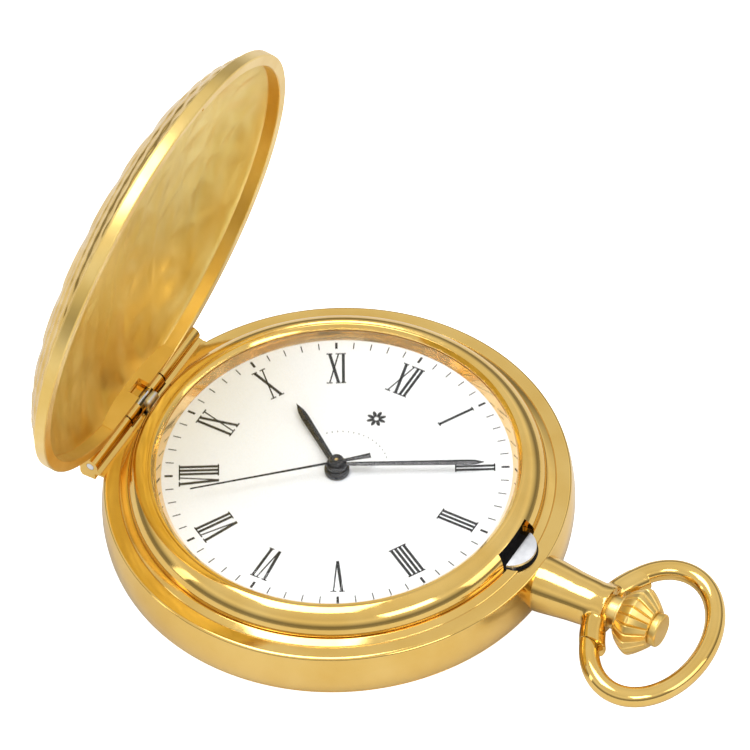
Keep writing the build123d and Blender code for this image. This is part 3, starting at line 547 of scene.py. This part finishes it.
def tongue_outline(disc_r, half, foot_x):
    """A rounded end of radius disc_r, and sides back to foot_x, as (x, y) points."""
    side = math.asin(half / disc_r)
    points = [(foot_x, -half)]
    for k in range(25):
        angle = -side + 2 * side * k / 24
        points.append((TONGUE_MIDDLE + disc_r * math.cos(angle), disc_r * math.sin(angle)))
    points.append((foot_x, half))
    return points


def band_outline():
    """The swelling wall, the shelf with its fine line, and the lip under the bezel."""
    wall = [(22.5, BAND_FOOT_Z), (23.86, BAND_FOOT_Z, 0.16)]
    wall += bulge((23.9, BAND_FOOT_Z + 0.1), (23.86, 7.2), -0.27, 14)
    wall += [(23.84, 7.45, 0.2), (23.6, 7.6, 0.12), (22.3, 7.66, 0.02), (22.24, 7.6, 0.02)]
    wall += [(22.18, 7.68, 0.03), (21.5, 8.0, 0.06), (20.3, 8.0), (20.3, 8.55), (19.4, 8.55)]
    return wall + [(19.4, 6.9), (22.5, 6.9)]


def make_band():
    """Cut for the tongue, for the hinge and for the lift spring."""
    recess_x = SLOT_X + 0.05
    band = piece("band", lathe_mesh(soften(band_outline()), 360))
    carve(band, plate_mesh(tongue_outline(RECESS_R, RECESS_HALF, recess_x), RECESS_Z, 9.0))
    carve(band, block_mesh(*HINGE_STEP))
    carve(band, block_mesh(*SPRING_WAY))
    settle(band, "case", "gold", GOLD, "case_band")

    def in_recess(spot):
        floor = SLOT_X < spot.x < 22.3 and abs(spot.z - RECESS_Z - 0.05) < 0.15
        return abs(spot.y) < 2.5 and (floor or abs(spot.x - recess_x) < 0.01)

    # Painted shade: the recess floor and its inner wall under the tongue are painted black where the
    # recess lies in shade.
    paint_slot_shade(band, in_recess)


def make_back():
    top = BAND_FOOT_Z - 0.03
    outline = [(0, 0), (12.4, 0, 0.6)] + bulge((12.6, 0.01), (23.3, 2.0), -0.42, 16)
    outline += [(23.75, 2.35, 0.2), (23.84, top, 0.16), (22.5, top), (21.7, 2.3)]
    outline += [(18.0, 1.28), (12.3, 0.7), (0, 0.7)]
    back = piece("back_cover", lathe_mesh(soften(outline), 288))
    settle(back, "case", "gold", GOLD, "case_back")


def make_bezel():
    outline = [(20.33, 8.06), (21.32, 8.06, 0.1), (21.38, 8.35, 0.1)]
    outline += bulge((21.36, 8.5), (19.5, 10.48), -0.36, 14)
    outline += [(19.35, 10.5, 0.08), (19.05, 10.42, 0.06), (18.9, 10.44, 0.05), (18.5, 10.08, 0.05)]
    outline += [(18.5, 9.93), (19.3, 9.93), (19.3, 8.63), (20.33, 8.63)]
    bezel = piece("bezel_ring", lathe_mesh(soften(outline), 360))
    carve(bezel, latch_slot_cutter())
    settle(bezel, "case", "gold", GOLD, "bezel")

    def in_slot(spot):
        return abs(spot.x - SLOT_X) < 0.01 and abs(spot.y) < 1.5 and spot.z < SLOT_HEAD[0]

    # Painted shade: the slot's inner face is painted black where the slot lies in shade.
    paint_slot_shade(bezel, in_slot)


def make_flange():
    outline = [(17.9, DIAL_Z + 0.02), (19.25, DIAL_Z + 0.02), (19.25, 9.88), (18.4, 9.88)]
    ring = piece("flange_mirror", lathe_mesh(outline, 288))
    settle(ring, "case", "gold", MIRROR, "flange_ring")


def make_crystal():
    outer = [(0, 12.2)] + dome(12.2, 16.2, 11.2) + bulge((16.2, 11.2), (18.44, 10.3), 0.17, 8)
    inner = [(0, 11.6)] + dome(11.6, 15.8, 10.65) + bulge((15.8, 10.65), (17.9, 9.97), 0.1, 8)
    outline = outer + [(18.44, 10.3), (18.44, 9.97), (17.9, 9.97)] + inner[:0:-1] + [inner[0]]
    glass = piece("domed_crystal", lathe_mesh(outline, 192, closed=False), degrees=40)
    settle(glass, "case", "crystal", CRYSTAL, "crystal")


# ------------------------------------------------------------------ dial
STROKE, HAIR, SERIF = 0.30, 0.15, 0.14      # widths of thick strokes, thin strokes and serifs
NUMERAL_FOOT, NUMERAL_HEAD = 12.0, 16.1     # radii of a numeral's foot and head
GLYPH_WIDTH = {"I": 0.48, "V": 1.35, "X": 1.42}
NUMERALS = ["XII", "I", "II", "III", "IIII", "V", "VI", "VII", "VIII", "IX", "X", "XI"]
PRINT_H, PRINT_LIFT = 0.02, 0.004           # thickness of the print, and its gap above the dial
TICK_SPAN = (16.72, 17.55)                  # radii of a tick's two ends


def bar(bm, a, b, width, height_z, place):
    """A straight stroke from a to b, cut level at both ends, then placed on the dial."""
    half = width / 2
    corners = [(a[0] - half, a[1]), (a[0] + half, a[1]), (b[0] + half, b[1]), (b[0] - half, b[1])]
    spots = [place(x, y) for x, y in corners]
    plate_mesh(spots, height_z, height_z + PRINT_H, bm)


def numeral(bm, text, clock_degrees, level):
    """Strokes and serifs of one numeral, its foot towards the middle of the dial."""
    angle = math.radians(90.0 - clock_degrees)
    out = Vector((math.cos(angle), math.sin(angle)))
    across = Vector((out.y, -out.x))
    high = NUMERAL_HEAD - NUMERAL_FOOT

    def place(x, y):
        spot = across * x + out * (NUMERAL_FOOT + y)
        return spot.x, spot.y

    x = -sum(GLYPH_WIDTH[c] for c in text) / 2
    for letter in text:
        width = GLYPH_WIDTH[letter]
        left, right, middle = x + 0.24, x + width - 0.24, x + width / 2
        if letter == "I":
            bar(bm, (middle, 0), (middle, high), STROKE, level, place)
            serifs = [(middle, 0), (middle, high)]
        elif letter == "V":
            bar(bm, (middle, 0), (left, high), STROKE * 1.05, level, place)
            bar(bm, (middle + 0.05, 0), (right, high), HAIR, level, place)
            serifs = [(left, high), (right, high)]
        else:
            bar(bm, (right, 0), (left, high), STROKE * 1.05, level, place)
            bar(bm, (left, 0), (right, high), HAIR, level, place)
            serifs = [(left, 0), (right, 0), (left, high), (right, high)]
        for sx, sy in serifs:
            y0 = sy - SERIF if sy else 0.0
            reach = 0.54 if letter == "I" else 0.62
            bar(bm, (sx, y0), (sx, y0 + SERIF), reach, level, place)
        x += width


def make_dial():
    level = DIAL_Z
    outline = [(1.2, level - 0.38), (18.9, level - 0.38), (18.9, level), (1.2, level, 0.03)]
    plate = piece("dial_plate", lathe_mesh(soften(outline), 192))
    settle(plate, "case", "dial", DIAL, "dial")

    bm = bmesh.new()
    for hour, text in enumerate(NUMERALS):
        numeral(bm, text, hour * 30.0, level + PRINT_LIFT)
    numerals = piece("dial_numerals", bm)
    settle(numerals, "case", "black", PRINT_AND_SHADE)

    bm = bmesh.new()
    for minute in range(60):
        angle = math.radians(90.0 - minute * 6.0)
        out = Vector((math.cos(angle), math.sin(angle)))
        across = Vector((out.y, -out.x))
        half = 0.13 if minute % 5 == 0 else 0.055
        near, far = TICK_SPAN
        corners = [(-half, near), (half, near), (half, far), (-half, far)]
        spots = [across * x + out * r for x, r in corners]
        plate_mesh([(p.x, p.y) for p in spots], level + PRINT_LIFT, level + PRINT_LIFT + PRINT_H, bm)
    ticks = piece("dial_minute_track", bm)
    settle(ticks, "case", "black", PRINT_AND_SHADE)
    make_dial_ornament(level + PRINT_LIFT)


ROSETTE_Y, ROSETTE_PETALS = 8.1, 8      # middle of the rosette, towards 12
DOT_ARC_R, DOTS, DOT_R = 4.9, 15, 0.07


def make_dial_ornament(level):
    """A plain eight-petal rosette under 12 and a thin line of dots, in place of any printed words."""
    bm = bmesh.new()
    for i in range(ROSETTE_PETALS):
        angle = TURN * i / ROSETTE_PETALS
        out = Vector((math.cos(angle), math.sin(angle)))
        across = Vector((out.y, -out.x))
        petal = []
        for k in range(12):
            t = TURN * k / 12
            spot = Vector((0, ROSETTE_Y)) + out * (0.62 + 0.42 * math.cos(t))
            spot += across * (0.19 * math.sin(t))
            petal.append((spot.x, spot.y))
        plate_mesh(petal[::-1], level, level + PRINT_H, bm)
    for i in range(DOTS):
        angle = math.radians(90 + (i - DOTS // 2) * 6.5)
        x, y = DOT_ARC_R * math.cos(angle), 0.6 + DOT_ARC_R * math.sin(angle)
        eighths = [TURN * k / 8 for k in range(8)]
        dot = [(x + DOT_R * math.cos(a), y + DOT_R * math.sin(a)) for a in eighths]
        plate_mesh(dot, level, level + PRINT_H, bm)
    ornament = piece("dial_ornament", bm)
    settle(ornament, "case", "black", PRINT_AND_SHADE)


# ------------------------------------------------------------------ hands
HOUR_AT, MINUTE_AT, SECONDS_AT = 305.1, 61.0, 228.2     # where the hands point, in degrees from 12
BLADE_EDGE, BLADE_RIDGE = 0.1, 0.17                     # heights of a blade above its underside


def ridged_hand(outline, low, edge, ridge, angle):
    """A hand with a raised ridge down its middle. outline lists (half width, distance)."""
    bm = bmesh.new()
    rows = []
    for half, y in outline:
        rows.append([
            bm.verts.new((-half, y, low)),
            bm.verts.new((-half, y, edge)),
            bm.verts.new((0, y, ridge if half > 0.02 else edge)),
            bm.verts.new((half, y, edge)),
            bm.verts.new((half, y, low)),
        ])
    for a, b in zip(rows, rows[1:]):
        for i in range(5):
            j = (i + 1) % 5
            bm.faces.new((a[i], a[j], b[j], b[i]))
    bm.faces.new(rows[0])
    bm.faces.new(rows[-1][::-1])
    bmesh.ops.transform(bm, matrix=Matrix.Rotation(-math.radians(angle), 4, "Z"), verts=bm.verts)
    return bm


def collar(rings):
    """A stacked hub, from (r, z) pairs."""
    return lathe_mesh(soften([(r, z, 0.05) for r, z in rings], steps=3), 96)


def make_hand(name, node, body, outline, hub, low, angle):
    edge, ridge = low + BLADE_EDGE, low + BLADE_RIDGE
    blade = piece(name + "_blade", ridged_hand(outline, low, edge, ridge, angle), degrees=15)
    boss = piece(name + "_hub", collar(hub))
    whole = merge(name, [blade, boss])
    settle(whole, body, "black", LACQUER, node)


def make_hands():
    z = DIAL_Z
    hour = [(0.30, 0.6), (0.33, 2.0), (0.42, 7.6), (0.34, 8.6), (0.01, 9.7)]
    hour_hub = [(0.97, z + 0.12), (1.28, z + 0.12), (1.28, z + 0.62), (1.1, z + 0.78), (0.97, z + 0.78)]
    make_hand("hour_pointer", "hour_hand", "hour", hour, hour_hub, z + 0.58, HOUR_AT)
    minute = [(0.20, 0.6), (0.23, 3.0), (0.31, 13.3), (0.27, 14.1), (0.01, 15.0)]
    minute_hub = [(0.64, z + 0.9), (1.05, z + 0.9), (1.05, z + 1.25), (0.9, z + 1.36), (0.64, z + 1.36)]
    make_hand("minute_pointer", "minute_hand", "centre", minute, minute_hub, z + 1.12, MINUTE_AT)
    seconds = [(0.33, -3.54), (0.28, -3.3), (0.15, -0.5), (0.12, 0.5), (0.065, 15.0), (0.05, 15.2)]
    seconds_hub = [(0.22, z + 1.45), (0.76, z + 1.45), (0.76, z + 1.85)]
    seconds_hub += [(0.6, z + 2.02), (0.22, z + 2.02)]
    make_hand("seconds_pointer", "seconds_hand", "seconds", seconds, seconds_hub, z + 1.5, SECONDS_AT)


# ------------------------------------------------------------------ cover
PETALS_FROM, PETALS_TO = 1.0, 6.5       # radii of the petals
LEAVES_FROM, LEAVES_TO = 20.3, 23.4     # radii of the ring of leaves; the scrolls lie between
PETAL_H, SCROLL_H, LEAF_H = 0.16, 0.20, 0.14
ENGRAVED_DOWN = 0.19                    # how far the ground of the engraving is sunk


def relief(r, angle):
    """Height of the engraving on the cover's outside, in millimetres: petals, scrolls and leaves."""
    if r < PETALS_FROM:
        return 0.0
    if r < PETALS_TO:
        petal = abs(math.cos(6 * angle)) ** 0.6
        return PETAL_H * petal * math.sin(math.pi * (r - PETALS_FROM) / (PETALS_TO - PETALS_FROM))
    if r < LEAVES_FROM:
        curl = math.sin(9 * angle + 5.5 * math.log(r)) * math.sin(9 * angle - 5.5 * math.log(r))
        vein = 0.25 * math.sin(36 * angle + 14 * math.log(r))
        fade = min(1.0, r - PETALS_TO, LEAVES_FROM - r)
        return SCROLL_H * fade * (0.5 + 0.5 * math.tanh(3.0 * (curl + 0.35 * vein)))
    out = r - LEAVES_FROM
    leaf = math.sin(26 * angle + 2.6 * out) * math.sin(17 * angle - 3.3 * out)
    fade = min(1.0, out / 0.4, max(0.0, (LEAVES_TO - r) / 0.15))
    return LEAF_H * fade * (0.5 + 0.5 * math.tanh(2.2 * leaf))


def hammered(x, y):
    """Long shallow dimples on the cover's inside, in millimetres: cells stretched along x."""
    u, v = x * DIMPLE_U, y * DIMPLE_V
    first, second = 9.0, 9.0
    for cu in range(math.floor(u) - 1, math.floor(u) + 2):
        for cv in range(math.floor(v) - 1, math.floor(v) + 2):
            a = math.sin(cu * 127.1 + cv * 311.7) * 43758.5453
            b = math.sin(cu * 269.5 + cv * 183.3) * 43758.5453
            away = math.hypot(u - cu - a + math.floor(a), v - cv - b + math.floor(b))
            if away < first:
                first, second = away, first
            elif away < second:
                second = away
    return DIMPLE_DEPTH * (1 - math.exp(-5.0 * (second - first) ** 2))


def cover_outline_outer():
    """From the foot of the rim, up the outside, to the middle."""
    z = COVER_RIM_Z
    top = z + COVER_BAND
    rim = [(23.55, z, 0.05), (COVER_R, z + 0.1, 0.06), (COVER_R, top - 0.05, 0.08)]
    groove = [(23.5, top + 0.02, 0.03), (23.32, top - 0.12, 0.02), (23.3, top + 0.12, 0.04)]
    side = bulge((23.38, top + 0.2), (17.0, z + 4.47), -0.62, 56)
    crown = dome(z + 5.98, 17.0, z + 4.47, 84)[::-1]
    return soften(rim + groove, closed=False) + side + crown + [(0.0, z + 5.98)]


def cover_outline_inner():
    """From the middle, down the inside, to the foot of the rim."""
    z = COVER_RIM_Z
    top = dome(z + 5.38, 16.5, z + 3.85, 70)
    side = bulge((16.5, z + 3.85), (COVER_INNER_R, z + 1.45), 0.27, 26)
    lip = [(COVER_INNER_R, z + 1.42), (22.42, z + 1.34), (22.42, z + 0.1), (22.5, z)]
    return [(0.0, z + 5.38)] + top + side + lip


def make_cover():
    """One closed shell, cut straight along the hinge, with a wall there and a catch opposite."""
    z = COVER_RIM_Z
    outside, inside = cover_outline_outer(), cover_outline_inner()
    engraved_from = next(k for k, (r, height) in enumerate(outside) if height > z + COVER_BAND + 0.25)
    inside_from = len(outside)
    lip_from = inside_from + len(inside) - 5

    def shift(k, r, angle):
        if k < engraved_from or k >= lip_from:
            return 0.0, 0.0
        if k < inside_from:
            lift = relief(r, angle) - ENGRAVED_DOWN
            steep = min(1.0, max(0.0, (r - 20.5) / 2.5))
            return lift * steep, lift * (1 - 0.6 * steep)
        fade = min(1.0, (COVER_INNER_R - r) / 1.5 + 0.02)
        return 0.0, fade * hammered(r * math.cos(angle), r * math.sin(angle))

    bm = lathe_mesh(outside + inside, 432, shift=shift)
    everything = bm.verts[:] + bm.edges[:] + bm.faces[:]
    hinge_side = {"plane_co": (COVER_CUT, 0, 0), "plane_no": (-1, 0, 0)}
    bmesh.ops.bisect_plane(bm, geom=everything, clear_outer=True, **hinge_side)
    bmesh.ops.holes_fill(bm, edges=[edge for edge in bm.edges if edge.is_boundary], sides=0)
    cover = piece("hunter_cover", bm)
    wall_x = (COVER_CUT - 0.02, COVER_CUT + HINGE_WALL_THICK)
    wall = block_mesh(*wall_x, -HINGE_WALL_HALF, HINGE_WALL_HALF, z + 0.05, z + 2.0)
    carve(cover, wall, "UNION")
    carve(cover, block_mesh(CATCH_X, CATCH_MOUTH, -CATCH_HALF, CATCH_HALF, z - 0.3, z + 0.3))
    carve(cover, block_mesh(CATCH_X, 23.25, -CATCH_HALF, CATCH_HALF, z + 0.25, z + 1.0))
    carve(cover, block_mesh(COVER_CUT - 1, COVER_CUT + 1, -TIP_WAY, TIP_WAY, z - 0.5, z + 1.3))
    mark_cover(cover)
    cover.data.transform(Matrix.Scale(MM, 4) @ opened() @ Matrix.Scale(1 / MM, 4))
    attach(cover, "cover")
    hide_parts("front_cover")


def mark_cover(cover):
    """Engraved outside, satin inside, and a soft rim. The cover is still closed here."""
    cover.data.materials.clear()
    for material in (RIM, ENGRAVED, SATIN):
        cover.data.materials.append(material)
    for face in cover.data.polygons:
        spot = face.center / MM
        r = math.hypot(spot.x, spot.y)
        outer_rim = spot.z < COVER_RIM_Z + COVER_BAND + 0.1 and r > 23.2
        inner_lip = spot.z < COVER_RIM_Z + 1.44 and r > COVER_INNER_R - 0.02 and r < 23.3
        if outer_rim or inner_lip or spot.x < COVER_CUT + 0.7:
            continue
        face.material_index = 2 if face.normal.z < 0 else 1


# ------------------------------------------------------------------ pendant, bow and crown
def stemwise():
    """Turns a piece drawn about Z to lie about the stem."""
    return Matrix.Translation((0, 0, STEM_Z)) @ Matrix.Rotation(math.pi / 2, 4, "Y")


def tube_mesh(path, radius, sides=32, flat_ends=None):
    """A round bar along points in the plane z = 0. flat_ends is the |y| at which its ends are cut."""
    bm = bmesh.new()
    rings = []
    for k, spot in enumerate(path):
        ahead = path[min(k + 1, len(path) - 1)] - path[max(k - 1, 0)]
        ahead = ahead.normalized()
        side = Vector((ahead.y, -ahead.x, 0))
        ring = []
        for i in range(sides):
            angle = TURN * i / sides
            point = spot + radius * (math.cos(angle) * side + math.sin(angle) * Vector((0, 0, 1)))
            if flat_ends and k in (0, len(path) - 1):
                want = math.copysign(flat_ends, spot.y)
                point += ahead * (want - point.y) / ahead.y
            ring.append(bm.verts.new(point))
        rings.append(ring)
    for a, b in zip(rings, rings[1:]):
        for i in range(sides):
            j = (i + 1) % sides
            bm.faces.new((a[i], a[j], b[j], b[i]))
    bm.faces.new(rings[0][::-1])
    bm.faces.new(rings[-1])
    return bm


def add_to(bm, other):
    """Copies one bmesh into another and frees it."""
    mesh = bpy.data.meshes.new("added")
    other.to_mesh(mesh)
    other.free()
    bm.from_mesh(mesh)


def stem_turned(outline):
    """A solid turned about the stem, from (radius, distance) pairs."""
    bm = lathe_mesh(outline, 96, closed=False)
    bm.transform(stemwise())
    return bm


def make_pendant():
    """Neck and ears grown into each other, cut square, bored, and hollowed for the pressed crown."""
    neck = [(0, 22.9), (3.05, 22.9), (2.98, 24.4), (2.62, 27.5), (2.45, 30.2), (2.6, 31.7), (0, 31.85)]
    bm = stem_turned(neck)
    arms = []
    for k in range(41):
        y = -5.6 + 11.2 * k / 40
        arms.append(Vector((30.75 + 0.062 * y * y, y, 0)))
    arm_bm = tube_mesh(arms, EAR_R, 40)
    arm_bm.transform(Matrix.Translation((0, 0, STEM_Z)))
    add_to(bm, arm_bm)
    pendant = piece("pendant_neck", bm)
    remesh = pendant.modifiers.new("grow", "REMESH")
    remesh.mode = "VOXEL"
    remesh.voxel_size = 0.11 * MM
    smooth = pendant.modifiers.new("smooth", "SMOOTH")
    smooth.factor, smooth.iterations = 0.5, 22
    bake(pendant)
    for side in (-1, 1):
        y0, y1 = sorted((side * EAR_Y, side * 9))
        carve(pendant, block_mesh(26, 38, y0, y1, 0, 10))
    carve(pendant, stem_turned([(0, 20), (BORE_R, 20), (BORE_R, 36), (0, 36)]))
    room = [(0, 32.1), (2.45, 32.1), (2.75, 32.5), (3.1, 32.95), (3.45, 33.4), (3.7, 33.9)]
    carve(pendant, stem_turned(room + [(3.7, 35), (0, 35)]))
    carve(pendant, lathe_mesh([(0, -2), (23.82, -2), (23.82, 12), (0, 12)], 360, closed=False))
    settle(pendant, "case", "gold", GOLD, "pendant")


def make_bow():
    """An oval of round wire with a pin at each end, that drops a little from its pivots."""
    middle = BOW_PIVOT.x + BOW_REACH
    end_y = EAR_Y + WIRE_GAP
    start = math.asin(end_y / BOW_B)
    path = []
    for k in range(145):
        angle = start + (TURN - 2 * start) * k / 144
        path.append(Vector((middle - BOW_A * math.cos(angle), BOW_B * math.sin(angle), 0)))
    bm = tube_mesh(path, WIRE_R, 40, flat_ends=end_y)
    for side in (-1, 1):
        pin = lathe_mesh([(0, 3.5), (0.5, 3.5), (0.53, 3.6), (0.53, 5.3), (0, 5.3)], 32, closed=False)
        turn = Matrix.Rotation(-side * math.pi / 2, 4, "X")
        pin.transform(Matrix.Translation((BOW_PIVOT.x, 0, 0)) @ turn)
        add_to(bm, pin)
    droop = Matrix.Translation(BOW_PIVOT) @ Matrix.Rotation(BOW_DROOP, 4, "Y")
    bow = piece("bow_ring", bm, move=droop @ Matrix.Translation((-BOW_PIVOT.x, 0, 0)))
    settle(bow, "bow", "gold", GOLD, "bow")


CROWN_PROFILE = (       # distance along the stem, radius, depth of the grooves
    (31.55, 1.42, 0), (31.55, 1.7, 0), (32.95, 1.7, 0), (32.95, 2.2, 0), (33.02, 2.3, 0),
    (33.22, 2.3, 0), (33.3, 2.62, 0.1), (33.7, 2.95, 0.2), (34.2, 3.3, 0.24), (34.6, 3.5, 0.25),
    (34.8, 3.56, 0.22), (34.95, 3.55, 0.22), (35.2, 3.4, 0.26), (35.6, 3.1, 0.28), (36.0, 2.75, 0.27),
    (36.4, 2.38, 0.24), (36.66, 2.12, 0.16), (36.74, 1.9, 0), (36.75, 1.1, 0),
)


def make_crown():
    """A collar in the pendant's bore, and flat ribs with fine grooves, widest at an angular ridge."""
    well = [(0, 34.5), (1.42, 34.5)]
    outline = well + [(r, x) for x, r, depth in CROWN_PROFILE] + [(0, 36.74)]

    def shift(k, r, angle):
        k -= len(well)
        if not 0 <= k < len(CROWN_PROFILE):
            return 0.0, 0.0
        share = (angle * CROWN_RIBS / TURN) % 1.0
        away = min(share, 1 - share)
        groove = CROWN_PROFILE[k][2]
        flat = r * (1 - math.cos((0.5 - away) * TURN / CROWN_RIBS)) if groove else 0.0
        return flat - groove * max(0.0, 1 - away / GROOVE_SHARE), 0.0

    bm = lathe_mesh(outline, CROWN_RIBS * 16, closed=False, shift=shift)
    crown = piece("ribbed_crown", bm, degrees=24, move=stemwise())
    settle(crown, "crown", "gold", RIM, "crown")
    cap = [(0, 36.44), (1.05, 36.44), (1.05, 36.77), (1.74, 36.77, 0.05)]
    cap += [(1.78, 37.42, 0.14), (1.6, 37.58, 0.08), (0, 37.6)]
    cap = piece("crown_end", lathe_mesh(soften(cap, closed=False), 128, closed=False), move=stemwise())
    settle(cap, "crown", "gold", RIM, "crown_cap")


# ------------------------------------------------------------------ springs
def leaf_outline(r_in, r_out, half_y, middle):
    """A strip bent to the case, as (x, y) points; middle is the angle of its centre."""
    half = math.asin(half_y / r_out)
    sweep = [middle - half + 2 * half * k / 40 for k in range(41)]
    outer = [(r_out * math.cos(a), r_out * math.sin(a)) for a in sweep]
    inner = [(r_in * math.cos(a), r_in * math.sin(a)) for a in sweep]
    return outer + inner[::-1]


def bevelled(name, bm, width, segments=3):
    """A piece with its edges rounded by width."""
    obj = piece(name, bm)
    bevel = obj.modifiers.new("bevel", "BEVEL")
    bevel.width, bevel.segments = width * MM, segments
    bevel.limit_method = "ANGLE"
    return bake(obj)


def make_latch():
    """The lock spring, with its rounded tongue in the bezel's slot."""
    outline = tongue_outline(TONGUE_R, TONGUE_HALF, TONGUE_FOOT_X)
    tongue = bevelled("latch_tongue", plate_mesh(outline, *TONGUE_Z), 0.13, 4)
    riser = bevelled("latch_riser", block_mesh(21.32, 21.68, -2.25, 2.25, 6.3, 8.2), 0.05)
    leaf = bevelled("latch_leaf", plate_mesh(leaf_outline(21.38, 21.72, 8.9, 0.0), 3.6, 6.4), 0.06)
    settle(merge("lock_spring", [tongue, riser, leaf]), "latch", "steel", SILVER, "latch_spring")


def make_lift_spring():
    """The fly spring, with the rounded finger that pushes the cover open."""
    leaf = bevelled("fly_leaf", plate_mesh(leaf_outline(21.33, 21.67, 12.9, math.pi), 4.3, 5.9), 0.06)
    finger = bevelled("fly_finger", block_mesh(-22.1, -21.65, -0.88, 0.88, 5.6, 8.5), 0.1)
    tip = [(0, -0.95), (0.35, -0.93, 0.1), (0.6, -0.7, 0.2)]
    tip += [(0.62, 0.7, 0.2), (0.35, 0.93, 0.1), (0, 0.95)]
    bm = lathe_mesh(soften(tip, closed=False), 64, closed=False)
    bm.transform(Matrix.Scale(0.8, 4, (1, 0, 0)))
    bm.transform(Matrix.Translation((-21.92, 0, 8.44)) @ Matrix.Rotation(math.pi / 2, 4, "X"))
    finish = merge("fly_spring", [leaf, finger, piece("fly_tip", bm)])
    settle(finish, "lift_spring", "steel", SILVER, "lift_spring")


# ------------------------------------------------------------------ stage
LIGHTS = (          # name, place, size and radiance
    ("key", (-0.10, -0.05, 0.75), (0.45, 0.35), 5.0),
    ("fill", (0.55, -0.25, 0.50), (0.30, 0.20), 5.0),
    ("rim", (-0.55, -0.45, 0.25), (0.10, 0.40), 2.0),
    ("side", (0.60, 0.20, 0.25), (0.35, 0.25), 1.6),
)
SKY = (             # height of a direction, from -1 straight down to 1 straight up, and its brightness
    (-1.0, 0.60), (-0.05, 0.50), (0.05, 0.34), (0.22, 0.24),
    (0.36, 0.62), (0.52, 0.95), (0.70, 0.80), (1.0, 0.92),
)


def make_world():
    """Soft boxes and dark gaps between them, which the polished metal mirrors."""
    world = bpy.data.worlds.new("studio")
    world.use_nodes = True
    bpy.context.scene.world = world
    tree = world.node_tree
    split = tree.nodes.new("ShaderNodeSeparateXYZ")
    tree.links.new(tree.nodes.new("ShaderNodeTexCoord").outputs["Generated"], split.inputs["Vector"])
    height = tree.nodes.new("ShaderNodeMapRange")
    height.inputs["From Min"].default_value = -1.0
    tree.links.new(split.outputs["Z"], height.inputs["Value"])
    ramp = tree.nodes.new("ShaderNodeValToRGB")
    tree.links.new(height.outputs["Result"], ramp.inputs["Fac"])
    for i, (z, level) in enumerate(SKY):
        stops = ramp.color_ramp.elements
        stop = stops[i] if i in (0, len(SKY) - 1) and i < len(stops) else stops.new((z + 1) / 2)
        stop.position = (z + 1) / 2
        stop.color = (level, level, level * 0.99, 1)
    tree.links.new(ramp.outputs["Color"], tree.nodes["Background"].inputs["Color"])


def area_light(name, place, size, power, target=(0, 0, 0.01)):
    """A rectangular lamp, in metres and watts, that faces its target."""
    light = bpy.data.lights.new(name, "AREA")
    light.shape = "RECTANGLE"
    light.size, light.size_y = size
    light.energy = power
    obj = bpy.data.objects.new(name, light)
    obj.location = place
    aim = Vector(place) - Vector(target)
    obj.rotation_euler = aim.to_track_quat("Z", "Y").to_euler()
    bpy.context.scene.collection.objects.link(obj)


def make_stage():
    """A pale table. It shows as plain white, and only its lit grey is mirrored in the metal."""
    bm = bmesh.new()
    bmesh.ops.create_grid(bm, x_segments=1, y_segments=1, size=3.0)
    mesh = bpy.data.meshes.new("floor")
    bm.to_mesh(mesh)
    bm.free()
    floor = bpy.data.objects.new("floor", mesh)
    floor.location.z = -0.0002
    bpy.context.scene.collection.objects.link(floor)
    s = Surface("floor_white", (0.72, 0.72, 0.72), 0.0, 0.7)
    s.tint(s.noise(3), (0.71, 0.71, 0.71), (0.73, 0.73, 0.73))
    s.shader.inputs["Emission Color"].default_value = (1, 1, 1, 1)
    seen = s.tree.nodes.new("ShaderNodeLightPath")
    s.link(seen.outputs["Is Camera Ray"], s.shader.inputs["Emission Strength"])
    mesh.materials.append(s.material)

    make_world()
    for name, place, size, radiance in LIGHTS:
        area_light(name, place, size, radiance * math.pi * size[0] * size[1])
    bpy.context.scene.view_settings.view_transform = "Standard"


make_camera()
make_stage()
finish_cad_nodes()
make_band()
make_back()
make_bezel()
make_flange()
make_crystal()
make_dial()
make_hands()
make_cover()
make_pendant()
make_bow()
make_crown()
make_latch()
make_lift_spring()
